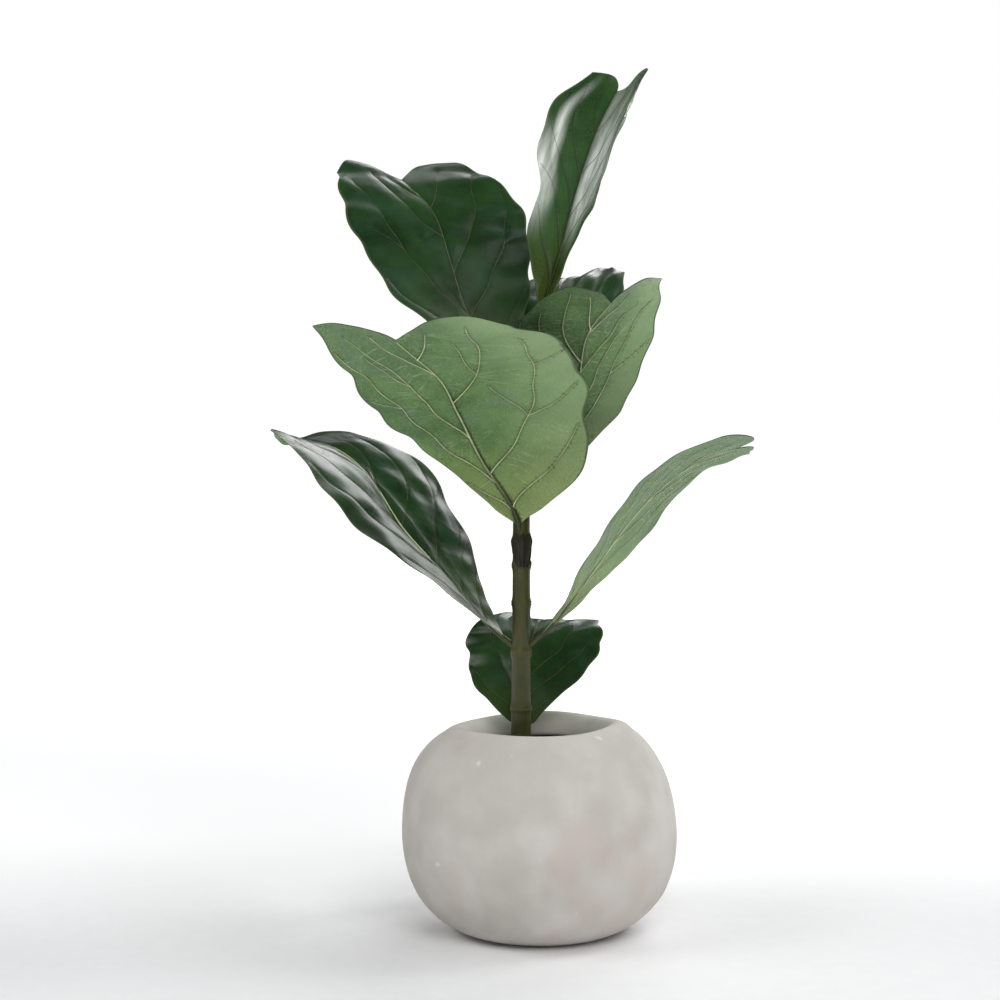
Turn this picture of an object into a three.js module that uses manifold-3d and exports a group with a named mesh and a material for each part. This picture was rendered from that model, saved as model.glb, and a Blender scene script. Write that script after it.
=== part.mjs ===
// Potted fiddle leaf fig: a hand-formed planter, its potting soil, one stem and eight leaves.
// Millimetres, Z up. The origin is the centre of the pot's flat base, and the front faces -Y.
import * as THREE from 'three';
import { mergeVertices } from 'three/addons/utils/BufferGeometryUtils.js';
import Module from 'manifold-3d';

const wasm = await Module();
wasm.setup();

// Pot: a round belly on a small flat base, drawn in to a thick soft lip.
const potWidth = 217;
const bellyHeight = 78;
const lipHeight = 165;
const baseFlatWidth = 98;
const shoulderRunIn = 52;
const wallThickness = 12;
const floorThickness = 14;
const potSides = 40;
const outerLipTurn = 78;
const innerLipTurn = 74;
const lipTopShare = 0.42;
const lipInsideShare = 0.62;

// Broad swells that the potter's hands left round the belly, and the lip's tilt and wave.
const handSwells = [
  { depth: 0.012, facets: 2, twist: 0, phase: 0.4 },
  { depth: 0.014, facets: 3, twist: 2.2, phase: 0.6 },
  { depth: 0.010, facets: 5, twist: -3.1, phase: 1.9 },
];
const swellStart = 0.2;
const lipTilt = 2.2;
const lipWave = 1.4;

// Soil fills the pot to this height, which its lip hides from the side.
const soilHeight = 138;
const soilMound = 4;

// Stem: one upright shoot behind the pot's middle, thinner towards its tip.
const stemX = -14;
const stemFoot = 60;
const stemTop = 472;
const budTop = 494;
const stemRadius = 8;
const stemRadiusHeight = 154;
const stemTaper = 0.0073;
const stemSides = 12;
const ringBulge = 0.9;
const ringReach = 3.5;
const leastRingStep = 1.5;
const budRadius = 3.2;
const scarHeights = [178, 262, 292, 372];

// Dark dry sheath that clasps the front of the stem under the lowest leaf of the crown.
const sheathBottom = 292;
const sheathTop = 316;
const sheathThickness = 0.9;
const sheathHalfAngle = 70;

// Clearance between pieces that touch, and the wider one of the soil inside the turned pot wall.
const gap = 0.3;
const soilGap = 0.5;

// Blade, the same for every leaf: its scalloped and rippled margin, its thickness and its midrib.
// A leaf's ripple and curl are given at these distances from the midrib.
const scallopDepth = 0.02;
const rippleCount = 5.5;
const rippleReach = 80;
const curlReach = 60;
const slowWave = 0.9;
const slowWaveShare = 0.43;
const bladeThickness = 1;
const midribRadius = 2.8;
const midribTaper = 0.75;
const stalkRunOut = 0.1;
const bladeStations = 20;
const stalkStations = 4;
const columns = [-1, -0.8, -0.55, -0.3, -0.06, 0, 0.06, 0.3, 0.55, 0.8, 1];

// Leaves. joint is the height on the stem. Along the midrib each list gives evenly spaced values
// from the blade's base to its notch: width is the half width, bow moves the midrib to the left,
// heading is in degrees from +X, rise in degrees above level, roll turns the blade about its midrib,
// and fold and curl lift each half. Pairs are for the left and the right half, seen from the stem.
// ripple is the height of the margin's waves, phase shifts them, and faces is the way that the
// upper side looks.
const up = [0, 0, 1];
const level = [[0, 0, 0], [0, 0, 0]];
const straight = [0, 0];
const leaves = {
  leaf_a: {
    joint: 432, stalk: 22, stalkRise: 50, length: 238, ripple: 1.6, phase: [1.4, 0.5],
    width: [[8, 44, 67, 70, 77, 77, 74], [8, 43, 64, 74, 80, 75, 57]],
    lobe: [0.12, 0.22], lobePeak: [1.4, 1.1], bow: [0, 2, -1, 0, 16], faces: up,
    heading: [142, 115, 105], rise: [42, 51, 26], roll: [-2, 3, 6],
    fold: [[5, 4, 11], [-2, -4, 0]], curl: level,
  },
  leaf_b: {
    joint: 466, stalk: 30, stalkRise: 52, length: 189, ripple: 2.7, phase: [2.3, 1.5],
    width: [[5, 23, 35, 31, 45, 50, 31], [8, 10, 16, 37, 52, 51, 34]],
    lobe: [0.04, 0.15], lobePeak: [0.6, 2], bow: straight, faces: [-0.2, -1, 0],
    heading: [13, 14, -5], rise: [68, 74, 59], roll: [-5, 2, -2],
    fold: [[53, 28, 38], [44, 35, 45]], curl: [[40, 36, 44], [40, 52, 45]],
  },
  leaf_c: {
    joint: 312, stalk: 16, stalkRise: 54, length: 251, ripple: 1.3, phase: [2.1, 1.5],
    width: [[9, 59, 71, 87, 90, 101, 88], [13, 40, 62, 74, 78, 77, 83]],
    lobe: [0.08, 0.03], lobePeak: [1.2, 1], bow: [0, -18, -16, -4, -4], faces: up,
    heading: [-109, -114, -122], rise: [71, 28, 26], roll: [-4, -5, -2],
    fold: [[3, 12, 5], [7, -2, 13]], curl: level,
  },
  leaf_d: {
    joint: 337, stalk: 20, stalkRise: 50, length: 213, ripple: 1.2, phase: [4.6, 5.7],
    width: [[12, 32, 52, 56, 57, 53, 46], [8, 12, 28, 56, 65, 59, 43]],
    lobe: [0.1, 0.18], lobePeak: [0.7, 1.1], bow: [0, 0, 3, -3, 4], faces: up,
    heading: [-56, -70, -82], rise: [46, 48, 14], roll: [-3, 1, -1],
    fold: [[7, 11, 23], [34, 3, 6]], curl: level,
  },
  leaf_e: {
    joint: 222, stalk: 18, stalkRise: 40, length: 241, ripple: 1.1, phase: [3.6, 3.2],
    width: [[10, 25, 39, 61, 66, 64, 50], [9, 26, 51, 54, 65, 50, 52]],
    lobe: [0.08, 0.11], lobePeak: [0.4, 0.5], bow: [0, 2, 12, -3, -17], faces: up,
    heading: [172, 163, 157], rise: [39, 51, 0], roll: [9, 23, 14],
    fold: [[30, 8, 30], [1, -1, 0]], curl: level,
  },
  leaf_f: {
    joint: 222, stalk: 22, stalkRise: 40, length: 221, ripple: 1.1, phase: [5.0, 1.6],
    width: [[6, 24, 55, 67, 61, 60, 64], [9, 25, 51, 58, 61, 70, 55]],
    lobe: [0.06, 0.08], lobePeak: [0.4, 0.8], bow: straight, faces: up,
    heading: [-13, -23, -16], rise: [45, 51, 12], roll: [3, 0, 8],
    fold: [[-7, -2, 3], [-3, -3, 3]], curl: level,
  },
  leaf_g: {
    joint: 146, stalk: 18, stalkRise: 50, length: 130, ripple: 2.1, phase: [2.5, 1.0],
    width: [[8, 29, 47, 53, 60, 57, 39], [8, 22, 43, 56, 58, 51, 42]],
    lobe: [0.16, -0.1], lobePeak: [0.65, 1.1], bow: straight, faces: up,
    heading: [85, 76, 71], rise: [55, 51, -22], roll: [-5, 1, -2],
    fold: [[11, -8, 6], [2, -2, 3]], curl: level,
  },
  leaf_h: {
    joint: 395, stalk: 20, stalkRise: 50, length: 190, ripple: 2, phase: [2.0, 4.6],
    width: [[5, 25, 40, 51, 62, 58, 41], [5, 25, 40, 51, 62, 58, 41]],
    lobe: [0.3, 0.24], lobePeak: [0.38, 0.36], bow: straight, faces: up,
    heading: [73, 75, 76], rise: [35, 50, 8], roll: [4, 6, 8],
    fold: [[5, 5, 5], [5, 5, 5]], curl: level,
  },
};

const radians = THREE.MathUtils.degToRad;
const weldDistance = 1e-4;
const leastTurn = 1e-3;

// Closed meshes and solids

function closedGeometry(positions, indices) {
  const geometry = new THREE.BufferGeometry();
  geometry.setAttribute('position', new THREE.Float32BufferAttribute(positions, 3));
  geometry.setIndex(indices);
  return mergedGeometry(geometry);
}

// Joins the vertices that share a place, and drops the triangles that this closes up.
function mergedGeometry(geometry) {
  geometry.deleteAttribute('normal');
  geometry.deleteAttribute('uv');
  const merged = mergeVertices(geometry, weldDistance);
  const kept = [];
  for (let i = 0; i < merged.index.count; i += 3) {
    const [a, b, c] = [0, 1, 2].map((k) => merged.index.getX(i + k));
    if (a !== b && b !== c && c !== a) {
      kept.push(a, b, c);
    }
  }
  merged.setIndex(kept);
  return merged;
}

function solidOf(geometry) {
  return new wasm.Manifold(new wasm.Mesh({
    numProp: 3,
    vertProperties: new Float32Array(geometry.attributes.position.array),
    triVerts: new Uint32Array(geometry.index.array),
  }));
}

function geometryOf(solid) {
  const mesh = solid.getMesh();
  const geometry = new THREE.BufferGeometry();
  geometry.setAttribute('position', new THREE.BufferAttribute(mesh.vertProperties, 3));
  geometry.setIndex(new THREE.BufferAttribute(mesh.triVerts, 1));
  return geometry;
}

// Turns a profile of (radius, height) points about the Z axis.
function turned(profile, sides) {
  const geometry = new THREE.LatheGeometry(profile, sides);
  geometry.rotateX(Math.PI / 2);
  return mergedGeometry(geometry);
}

function movePoints(geometry, move) {
  const place = geometry.attributes.position;
  const point = new THREE.Vector3();
  for (let i = 0; i < place.count; i += 1) {
    move(point.fromBufferAttribute(place, i));
    place.setXYZ(i, point.x, point.y, point.z);
  }
  return geometry;
}

// Pot and soil

function arc(centreRadius, centreHeight, run, height, start, end, steps) {
  const [a, b] = [radians(start), radians(end)];
  return new THREE.EllipseCurve(centreRadius, centreHeight, run, height, a, b, b < a).getPoints(steps);
}

function outerProfile() {
  const shoulderCentre = potWidth / 2 - shoulderRunIn;
  const rise = lipHeight - bellyHeight;
  return [
    new THREE.Vector2(0, 0),
    ...arc(baseFlatWidth / 2, bellyHeight, (potWidth - baseFlatWidth) / 2, bellyHeight, -90, 0, 7),
    ...arc(shoulderCentre, bellyHeight, shoulderRunIn, rise, 0, outerLipTurn, 7).slice(1),
  ];
}

// Inner wall from the floor's centre to the lip, moved in from the wall by an extra clearance.
function innerProfile(clearance) {
  const run = potWidth / 2 - wallThickness - clearance;
  const floor = floorThickness + clearance;
  const lowerRun = run - baseFlatWidth / 2 + wallThickness;
  const shoulderCentre = run - shoulderRunIn;
  const depth = lipHeight - wallThickness - bellyHeight;
  return [
    new THREE.Vector2(0, floor),
    ...arc(run - lowerRun, bellyHeight, lowerRun, bellyHeight - floor, -90, 0, 5),
    ...arc(shoulderCentre, bellyHeight, shoulderRunIn, depth, 0, innerLipTurn, 6).slice(1),
  ];
}

// Softens the turned form to one shaped by hand: broad shallow facets and an uneven lip.
function shapeByHand(point) {
  const angle = Math.atan2(point.y, point.x);
  const height = point.z / lipHeight;
  const swell = handSwells.reduce(
    (sum, { depth, facets, twist, phase }) => (
      sum + depth * Math.cos(facets * angle + twist * height + phase)
    ),
    0,
  );
  const spread = 1 + swell * Math.min(1, height / swellStart);
  point.x *= spread;
  point.y *= spread;
  point.z += height ** 4 * (lipTilt * Math.cos(angle) + lipWave * Math.cos(3 * angle + 1.1));
}

function potGeometry() {
  const inner = innerProfile(0);
  const rim = inner.at(-1);
  const lip = new THREE.Vector2(rim.x + wallThickness * lipTopShare, lipHeight);
  const shoulder = new THREE.Vector2(rim.x + 1, rim.y + wallThickness * lipInsideShare);
  const profile = [...outerProfile(), lip, shoulder, ...inner.reverse()];
  return movePoints(turned(profile, potSides), shapeByHand);
}

// The part of a rising profile below a height, ending at that height.
function profileBelow(profile, height) {
  const next = profile.findIndex((point) => point.y > height);
  const [before, after] = [profile[next - 1], profile[next]];
  const share = (height - before.y) / (after.y - before.y);
  return [...profile.slice(0, next), before.clone().lerp(after, share)];
}

function soilGeometry(bore) {
  const wall = profileBelow(innerProfile(soilGap), soilHeight);
  const surface = [0.75, 0.5, 0.25, 0].map((share) => new THREE.Vector2(
    wall.at(-1).x * share,
    soilHeight + soilMound * (1 - share ** 2),
  ));
  const body = movePoints(turned([...wall, ...surface], potSides), shapeByHand);
  return geometryOf(solidOf(body).subtract(bore));
}

// Stem

const rings = [...scarHeights, ...Object.values(leaves).map((leaf) => leaf.joint)];

function stemRadiusAt(height) {
  const bulge = rings.reduce(
    (sum, ring) => sum + Math.exp(-(((height - ring) / ringReach) ** 2)),
    0,
  );
  return stemRadius - stemTaper * (height - stemRadiusHeight) + ringBulge * Math.min(1, bulge);
}

// One stretch of plain stem, a ring at every joint and scar, and the pointed growing tip.
function stemGeometry(clearance) {
  const foot = stemFoot - clearance;
  const edge = 1.6 * ringReach;
  const around = rings.flatMap((ring) => [ring - edge, ring, ring + edge]);
  const heights = [foot, ...around, stemTop].sort((a, b) => a - b);
  const shown = heights.filter((height, i) => i === 0 || height - heights[i - 1] > leastRingStep);
  const profile = [
    new THREE.Vector2(0, foot),
    ...shown.map((height) => new THREE.Vector2(stemRadiusAt(height) + clearance, height)),
    new THREE.Vector2(budRadius + clearance, (stemTop + 2 * budTop) / 3),
    new THREE.Vector2(0, budTop + clearance),
  ];
  return turned(profile, stemSides).translate(stemX, 0, 0);
}

// Leaves

function quadratic([base, middle, tip], s) {
  return base * (1 - s) * (1 - 2 * s) + 4 * middle * s * (1 - s) + tip * s * (2 * s - 1);
}

function direction(heading, rise) {
  const [a, b] = [radians(heading), radians(rise)];
  return new THREE.Vector3(Math.cos(a) * Math.cos(b), Math.sin(a) * Math.cos(b), Math.sin(b));
}

// The midrib's points and directions, from the stem along the stalk and past the blade's notch.
// place runs from -1 at the stem to 0 at the blade's base and 1 at its notch.
function midribOf(leaf) {
  const steps = 40;
  const bladeSteps = 3 * steps;
  const reach = 1.3;
  const samples = [];
  const point = new THREE.Vector3(stemX, 0, leaf.joint);
  const stalkStart = direction(leaf.heading[0], leaf.stalkRise);
  const bladeStart = direction(leaf.heading[0], leaf.rise[0]);
  const visit = (place, along, length) => {
    const last = samples.at(-1);
    if (last) {
      const mean = last.along.clone().add(along).multiplyScalar(0.5);
      point.addScaledVector(mean, length);
    }
    samples.push({ place, along, point: point.clone() });
  };
  for (let i = 0; i < steps; i += 1) {
    const along = stalkStart.clone().lerp(bladeStart, i / steps).normalize();
    visit(i / steps - 1, along, leaf.stalk / steps);
  }
  for (let i = 0; i <= bladeSteps; i += 1) {
    const s = (reach * i) / bladeSteps;
    const along = direction(quadratic(leaf.heading, s), quadratic(leaf.rise, s));
    visit(s, along, i === 0 ? leaf.stalk / steps : (leaf.length * reach) / bladeSteps);
  }
  return samples;
}

function midribAt(midrib, place) {
  const next = midrib.findIndex((sample) => sample.place >= place);
  const after = midrib[Math.max(next, 1)];
  const before = midrib[Math.max(next, 1) - 1];
  const share = (place - before.place) / (after.place - before.place);
  return {
    point: before.point.clone().lerp(after.point, share),
    along: before.along.clone().lerp(after.along, share).normalize(),
  };
}

// A point of the midrib, with the directions that the upper side and the left margin face there.
function frameAt(leaf, midrib, place) {
  const { point, along } = midribAt(midrib, place);
  const above = new THREE.Vector3(...leaf.faces);
  above.addScaledVector(along, -above.dot(along)).normalize();
  const left = above.clone().cross(along);
  const roll = radians(quadratic(leaf.roll, Math.max(place, 0)));
  const [cosine, sine] = [Math.cos(roll), Math.sin(roll)];
  return {
    point,
    normal: above.clone().multiplyScalar(cosine).addScaledVector(left, sine),
    left: left.clone().multiplyScalar(cosine).addScaledVector(above, -sine),
  };
}

// Smooth curve through evenly spaced values, at a share of the way along them.
function smoothThrough(values, share) {
  const points = values.map((value) => new THREE.Vector2(value, 0));
  return new THREE.SplineCurve(points).getPoint(THREE.MathUtils.clamp(share, 0, 1)).x;
}

// Distance from the midrib to the margin of one half, with its shallow scallops.
function halfWidth(leaf, half, u) {
  const turns = rippleCount * u + leaf.phase[half] / 3;
  const scallop = Math.sin(2 * Math.PI * turns) * Math.min(1, 4 * u);
  return smoothThrough(leaf.width[half], u) * (1 + scallopDepth * scallop);
}

// Length of a strip that starts at an angle and turns on by a further angle, level and upwards.
function bentReach(start, turn, length) {
  if (Math.abs(turn) < leastTurn) {
    return [length * Math.cos(start), length * Math.sin(start)];
  }
  const scale = length / turn;
  return [
    scale * (Math.sin(start + turn) - Math.sin(start)),
    scale * (Math.cos(start) - Math.cos(start + turn)),
  ];
}

// Place in space of a blade point: u runs from base to tip, and v from the right margin at -1,
// over the midrib at 0, to the left margin at 1.
function bladePoint(leaf, midrib, u, v) {
  const half = v > 0 ? 0 : 1;
  const side = v > 0 ? 1 : -1;
  const spread = Math.abs(v);
  const phase = leaf.phase[half];
  const place = u + leaf.lobe[half] * u ** 6 * Math.sin(Math.PI * spread ** leaf.lobePeak[half]);
  const reach = spread * halfWidth(leaf, half, u);

  const { point, normal, left } = frameAt(leaf, midrib, place);
  const start = radians(quadratic(leaf.fold[half], place));
  const turn = radians(quadratic(leaf.curl[half], place)) * (reach / curlReach);
  const [across, lift] = bentReach(start, turn, reach);
  const turns = 2 * Math.PI * rippleCount * place;
  const wave = Math.sin(turns + phase) + slowWave * Math.sin(slowWaveShare * turns + 2 * phase);
  const ripple = leaf.ripple * (reach / rippleReach) ** 2 * wave;
  const bow = smoothThrough(leaf.bow, place) * (1 - spread);
  return point.addScaledVector(left, side * across + bow).addScaledVector(normal, lift + ripple);
}

function bladeNormal(leaf, midrib, u, v) {
  const step = 0.01;
  const [u0, u1] = [Math.max(0, u - step), Math.min(1, u + step)];
  const [v0, v1] = [Math.max(-1, v - step), Math.min(1, v + step)];
  const along = bladePoint(leaf, midrib, u1, v).sub(bladePoint(leaf, midrib, u0, v));
  const across = bladePoint(leaf, midrib, u, v1).sub(bladePoint(leaf, midrib, u, v0));
  return along.cross(across).normalize();
}

function stalkRow(leaf, midrib, place) {
  const { point, normal, left } = frameAt(leaf, midrib, place);
  return columns.map((v) => {
    const height = midribRadius * Math.sqrt(1 - v ** 2) + bladeThickness / 2;
    const middle = point.clone().addScaledVector(left, midribRadius * v);
    return [
      middle.clone().addScaledVector(normal, height),
      middle.clone().addScaledVector(normal, -height),
    ];
  });
}

function bladeRow(leaf, midrib, u) {
  const ribRadius = midribRadius * (1 - midribTaper * u);
  const flush = Math.max(0, 1 - u / stalkRunOut);
  return columns.map((v) => {
    const half = v > 0 ? 0 : 1;
    const reach = Math.abs(v) * halfWidth(leaf, half, u);
    const rib = Math.sqrt(Math.max(0, ribRadius ** 2 - reach ** 2));
    const middle = bladePoint(leaf, midrib, u, v);
    const normal = bladeNormal(leaf, midrib, u, v);
    return [
      middle.clone().addScaledVector(normal, bladeThickness / 2 + rib * flush),
      middle.clone().addScaledVector(normal, -bladeThickness / 2 - rib),
    ];
  });
}

// Closes two matching grids of points, an upper and a lower one, split alike into triangles.
function closedSheet(rows) {
  const positions = rows.flat(2).flatMap((point) => point.toArray());
  const indices = [];
  const across = rows[0].length;
  const top = (i, j) => 2 * (i * across + j);
  const bottom = (i, j) => top(i, j) + 1;
  const quad = (a, b, c, d) => indices.push(a, b, c, a, c, d);
  const last = { row: rows.length - 1, column: across - 1 };
  for (let i = 0; i < last.row; i += 1) {
    for (let j = 0; j < last.column; j += 1) {
      quad(top(i, j), top(i + 1, j), top(i + 1, j + 1), top(i, j + 1));
      quad(bottom(i + 1, j + 1), bottom(i + 1, j), bottom(i, j), bottom(i, j + 1));
    }
    quad(top(i, 0), bottom(i, 0), bottom(i + 1, 0), top(i + 1, 0));
    const j = last.column;
    quad(top(i, j), top(i + 1, j), bottom(i + 1, j), bottom(i, j));
  }
  for (let j = 0; j < last.column; j += 1) {
    const i = last.row;
    quad(top(0, j), top(0, j + 1), bottom(0, j + 1), bottom(0, j));
    quad(top(i, j), bottom(i, j), bottom(i, j + 1), top(i, j + 1));
  }
  return closedGeometry(positions, indices);
}

// A leaf is one piece from its stalk to its tip. Its stalk ends in a saddle on the stem.
function leafGeometry(leaf, stemWithClearance) {
  const midrib = midribOf(leaf);
  const rows = [];
  for (let i = 0; i < stalkStations; i += 1) {
    rows.push(stalkRow(leaf, midrib, i / stalkStations - 1));
  }
  for (let i = 0; i <= bladeStations; i += 1) {
    rows.push(bladeRow(leaf, midrib, i / bladeStations));
  }
  return geometryOf(solidOf(closedSheet(rows)).subtract(stemWithClearance));
}

// Sheath: a curved scale on the front of the stem, narrowing to both ends.
function sheathGeometry() {
  const rows = [];
  const [rowCount, columnCount] = [6, 8];
  const endShare = 0.35;
  for (let i = 0; i <= rowCount; i += 1) {
    const share = i / rowCount;
    const height = sheathBottom + (sheathTop - sheathBottom) * share;
    const half = sheathHalfAngle * (endShare + (1 - endShare) * Math.sin(Math.PI * share));
    const radius = stemRadiusAt(sheathBottom) + gap;
    const row = [];
    for (let j = 0; j <= columnCount; j += 1) {
      const angle = radians(-90 - half + (2 * half * j) / columnCount);
      const place = (r) => new THREE.Vector3(stemX + r * Math.cos(angle), r * Math.sin(angle), height);
      row.push([place(radius + sheathThickness), place(radius)]);
    }
    rows.push(row.reverse());
  }
  return closedSheet(rows);
}

// Scene graph

const materials = {
  pot: new THREE.MeshStandardMaterial({ color: '#bdb8b1', roughness: 0.9, metalness: 0 }),
  soil: new THREE.MeshStandardMaterial({ color: '#3b2c21', roughness: 1, metalness: 0 }),
  stem: new THREE.MeshStandardMaterial({ color: '#55522f', roughness: 0.75, metalness: 0 }),
  sheath: new THREE.MeshStandardMaterial({ color: '#2b2318', roughness: 0.8, metalness: 0 }),
  leaf: new THREE.MeshStandardMaterial({ color: '#2f5a2a', roughness: 0.4, metalness: 0 }),
};

const plant = new THREE.Group();

function addPiece(name, geometry, material) {
  const mesh = new THREE.Mesh(geometry, material);
  mesh.name = name;
  plant.add(mesh);
}

const stemWithClearance = solidOf(stemGeometry(gap));
addPiece('pot', potGeometry(), materials.pot);
addPiece('soil', soilGeometry(stemWithClearance), materials.soil);
addPiece('stem', stemGeometry(0), materials.stem);
addPiece('sheath', sheathGeometry(), materials.sheath);
for (const [name, leaf] of Object.entries(leaves)) {
  addPiece(name, leafGeometry(leaf, stemWithClearance), materials.leaf.clone());
}

export default plant;
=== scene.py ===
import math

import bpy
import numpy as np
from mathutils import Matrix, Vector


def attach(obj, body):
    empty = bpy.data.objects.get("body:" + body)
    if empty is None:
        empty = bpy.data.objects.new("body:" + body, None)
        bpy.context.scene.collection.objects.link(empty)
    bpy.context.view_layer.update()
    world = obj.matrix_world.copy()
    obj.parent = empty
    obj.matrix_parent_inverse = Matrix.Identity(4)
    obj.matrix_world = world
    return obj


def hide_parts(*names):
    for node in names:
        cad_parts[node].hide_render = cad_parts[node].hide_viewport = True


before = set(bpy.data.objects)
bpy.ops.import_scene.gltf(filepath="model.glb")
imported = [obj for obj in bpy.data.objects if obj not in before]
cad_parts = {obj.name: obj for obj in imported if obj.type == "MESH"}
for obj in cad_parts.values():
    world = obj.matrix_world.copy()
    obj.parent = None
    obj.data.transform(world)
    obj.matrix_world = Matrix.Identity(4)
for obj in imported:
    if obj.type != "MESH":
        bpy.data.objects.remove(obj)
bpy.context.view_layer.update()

# %% [markdown]
# # A potted fiddle leaf fig
# The real plant is one woody shoot in a hand-formed planter, with large leathery leaves that are
# glossy and dark above and dull grey-green below. The solid model of it is loaded above as a fixed
# frame. Each plain solid gets a finer piece here that keeps its place and its outline, so the
# numbers below repeat the measurements that the solids were made from.

MM = 0.001

# %% [markdown]
# ## Camera, floor and light
# The camera stands about 1.6 m in front, a little below the crown, and has a slightly long lens.
# The white floor is flat and very wide. It glows more the further away it is, so it fades into the
# white background without an edge, as paper does in a studio.
# The leaves are glossy, so they show the room. Panels behind the plant are placed where one leaf
# mirrors them to the viewer, which gives its silver bands. The key light and the fills light the
# planter, the floor and the pale undersides, and no leaf mirrors them, so dark leaves stay dark.

# %% Camera
camera = bpy.data.objects.new("camera", bpy.data.cameras.new("camera"))
camera.location = (-0.031, -1.600, 0.417)
camera.rotation_euler = (math.radians(87.4), 0, 0)
camera.data.lens = 72.43
camera.data.sensor_width = 36
camera.data.clip_start = 0.05
camera.data.clip_end = 50
bpy.context.collection.objects.link(camera)
bpy.context.scene.camera = camera
bpy.context.scene.view_settings.view_transform = "Standard"
print("camera", tuple(camera.location))

# %% [markdown]
# ## Small helpers for node trees
# Materials here are node trees. What a node puts out is wrapped as a signal, which Python can add
# and multiply like a number, so that a material reads from top to bottom like a recipe. Setting up
# each node by hand would hide the recipe behind its wiring.


# %% Node helpers
def colour(red, green, blue):
    """A colour given in 0-255 screen values, as the linear colour that shaders use."""
    shares = [value / 255 for value in (red, green, blue)]
    linear = [s / 12.92 if s <= 0.04045 else ((s + 0.055) / 1.055) ** 2.4 for s in shares]
    return (*linear, 1.0)


class Signal:
    """What one socket puts out. It is added, subtracted and multiplied like a number."""

    def __init__(self, socket):
        self.socket, self.tree = socket, socket.id_data

    def __add__(self, other):
        return calc("ADD", self, other)

    def __sub__(self, other):
        return calc("SUBTRACT", self, other)

    def __rsub__(self, other):
        return calc("SUBTRACT", other, self)

    def __mul__(self, other):
        return calc("MULTIPLY", self, other)


class Outputs:
    """The outputs of a node as signals, by name or by number."""

    def __init__(self, node):
        self.node = node

    def __getitem__(self, key):
        return Signal(self.node.outputs[key])


def fill(socket, value):
    """Links a signal to a socket, or sets the socket to a plain value."""
    if isinstance(value, Signal):
        value.tree.links.new(value.socket, socket)
    else:
        socket.default_value = value


def fill_named(node, **values):
    """Fills sockets by name. An underscore in a name here stands for a space."""
    for key, value in values.items():
        fill(node.inputs[key.replace("_", " ")], value)


def make(tree, kind, settings=None, slots=(), **inputs):
    """Adds a shader node, fills its first sockets from slots and others by name."""
    node = tree.nodes.new("ShaderNode" + kind)
    for key, value in (settings or {}).items():
        setattr(node, key, value)
    for socket, value in zip(node.inputs, slots):
        fill(socket, value)
    fill_named(node, **inputs)
    return Outputs(node)


def calc(operation, a, b=0.0):
    tree = (a if isinstance(a, Signal) else b).tree
    return make(tree, "Math", {"operation": operation}, (a, b))[0]


def remap(value, low, high, to_low=0.0, to_high=1.0):
    """Carries low..high smoothly to to_low..to_high."""
    smooth = {"interpolation_type": "SMOOTHSTEP"}
    return make(value.tree, "MapRange", smooth, (value, low, high, to_low, to_high))[0]


def tint(share, under, over):
    """The colour over laid on the colour under by a share. Plain colours are in 0-255 values."""
    node = share.tree.nodes.new("ShaderNodeMix")
    node.data_type = "RGBA"
    fill(node.inputs[0], share)
    for number, value in ((6, under), (7, over)):
        fill(node.inputs[number], value if isinstance(value, Signal) else colour(*value))
    return Signal(node.outputs[2])


def layered(body, *layers):
    """Lays colours on a body one after the other, each by its own share."""
    for share, tone in layers:
        body = tint(share, body, tone)
    return body


def noise(vector, scale, detail=4.0, roughness=0.55):
    return make(vector.tree, "TexNoise", Vector=vector, Scale=scale, Detail=detail, Roughness=roughness)[0]


def new_material(name):
    material = bpy.data.materials.new(name)
    material.use_nodes = True
    tree = material.node_tree
    return material, tree, tree.nodes["Principled BSDF"]


def object_place(tree):
    return make(tree, "TexCoord")["Object"]


def stretched(vector, scale):
    return make(vector.tree, "Mapping", Vector=vector, Scale=scale)[0]


def dress(shader, body, roughness, height, depth, strength=1.0, **others):
    """Gives a shader its colour, its roughness and a bump that is depth metres high."""
    relief = make(height.tree, "Bump", Strength=strength, Distance=depth, Height=height)
    fill_named(shader, Base_Color=body, Roughness=roughness, Normal=relief[0], **others)


print("node helpers ready")

# %% Floor
FLOOR_REACH = 60.0
GLOW_DEPTHS, GLOW_AT_MIDDLE, GLOW_RING = (-0.12, 0.4, 3.2), 0.27, (0.9, 3.4)
BLACK, WHITE = (0, 0, 0), (255, 255, 255)
floor_points = [(x * FLOOR_REACH, y * FLOOR_REACH, 0.0) for x, y in ((-1, -1), (1, -1), (1, 1), (-1, 1))]
floor_mesh = bpy.data.meshes.new("floor")
floor_mesh.from_pydata(floor_points, [], [(0, 1, 2, 3)])
floor = bpy.data.objects.new("floor", floor_mesh)
bpy.context.collection.objects.link(floor)

paper, tree, shader = new_material("white paper")
where = object_place(tree)
depth = make(tree, "SeparateXYZ", Vector=where)["Y"]
radius = make(tree, "VectorMath", {"operation": "LENGTH"}, Vector=where)["Value"]
near, middle, far = GLOW_DEPTHS
rising = remap(depth, near, middle, 0.0, GLOW_AT_MIDDLE)
behind = rising + remap(depth, middle, far, 0.0, 1 - GLOW_AT_MIDDLE)
glow = calc("MAXIMUM", behind, remap(radius, *GLOW_RING))
fill_named(
    shader,
    Base_Color=tint(remap(noise(where, 60.0), 0.3, 0.7), (236, 236, 237), (238, 238, 239)),
    Emission_Color=tint(glow, BLACK, WHITE),
    Emission_Strength=1.0, Roughness=0.9, Specular_IOR_Level=0.1,
)
floor_mesh.materials.append(paper)
print("floor points", len(floor_points))


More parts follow.
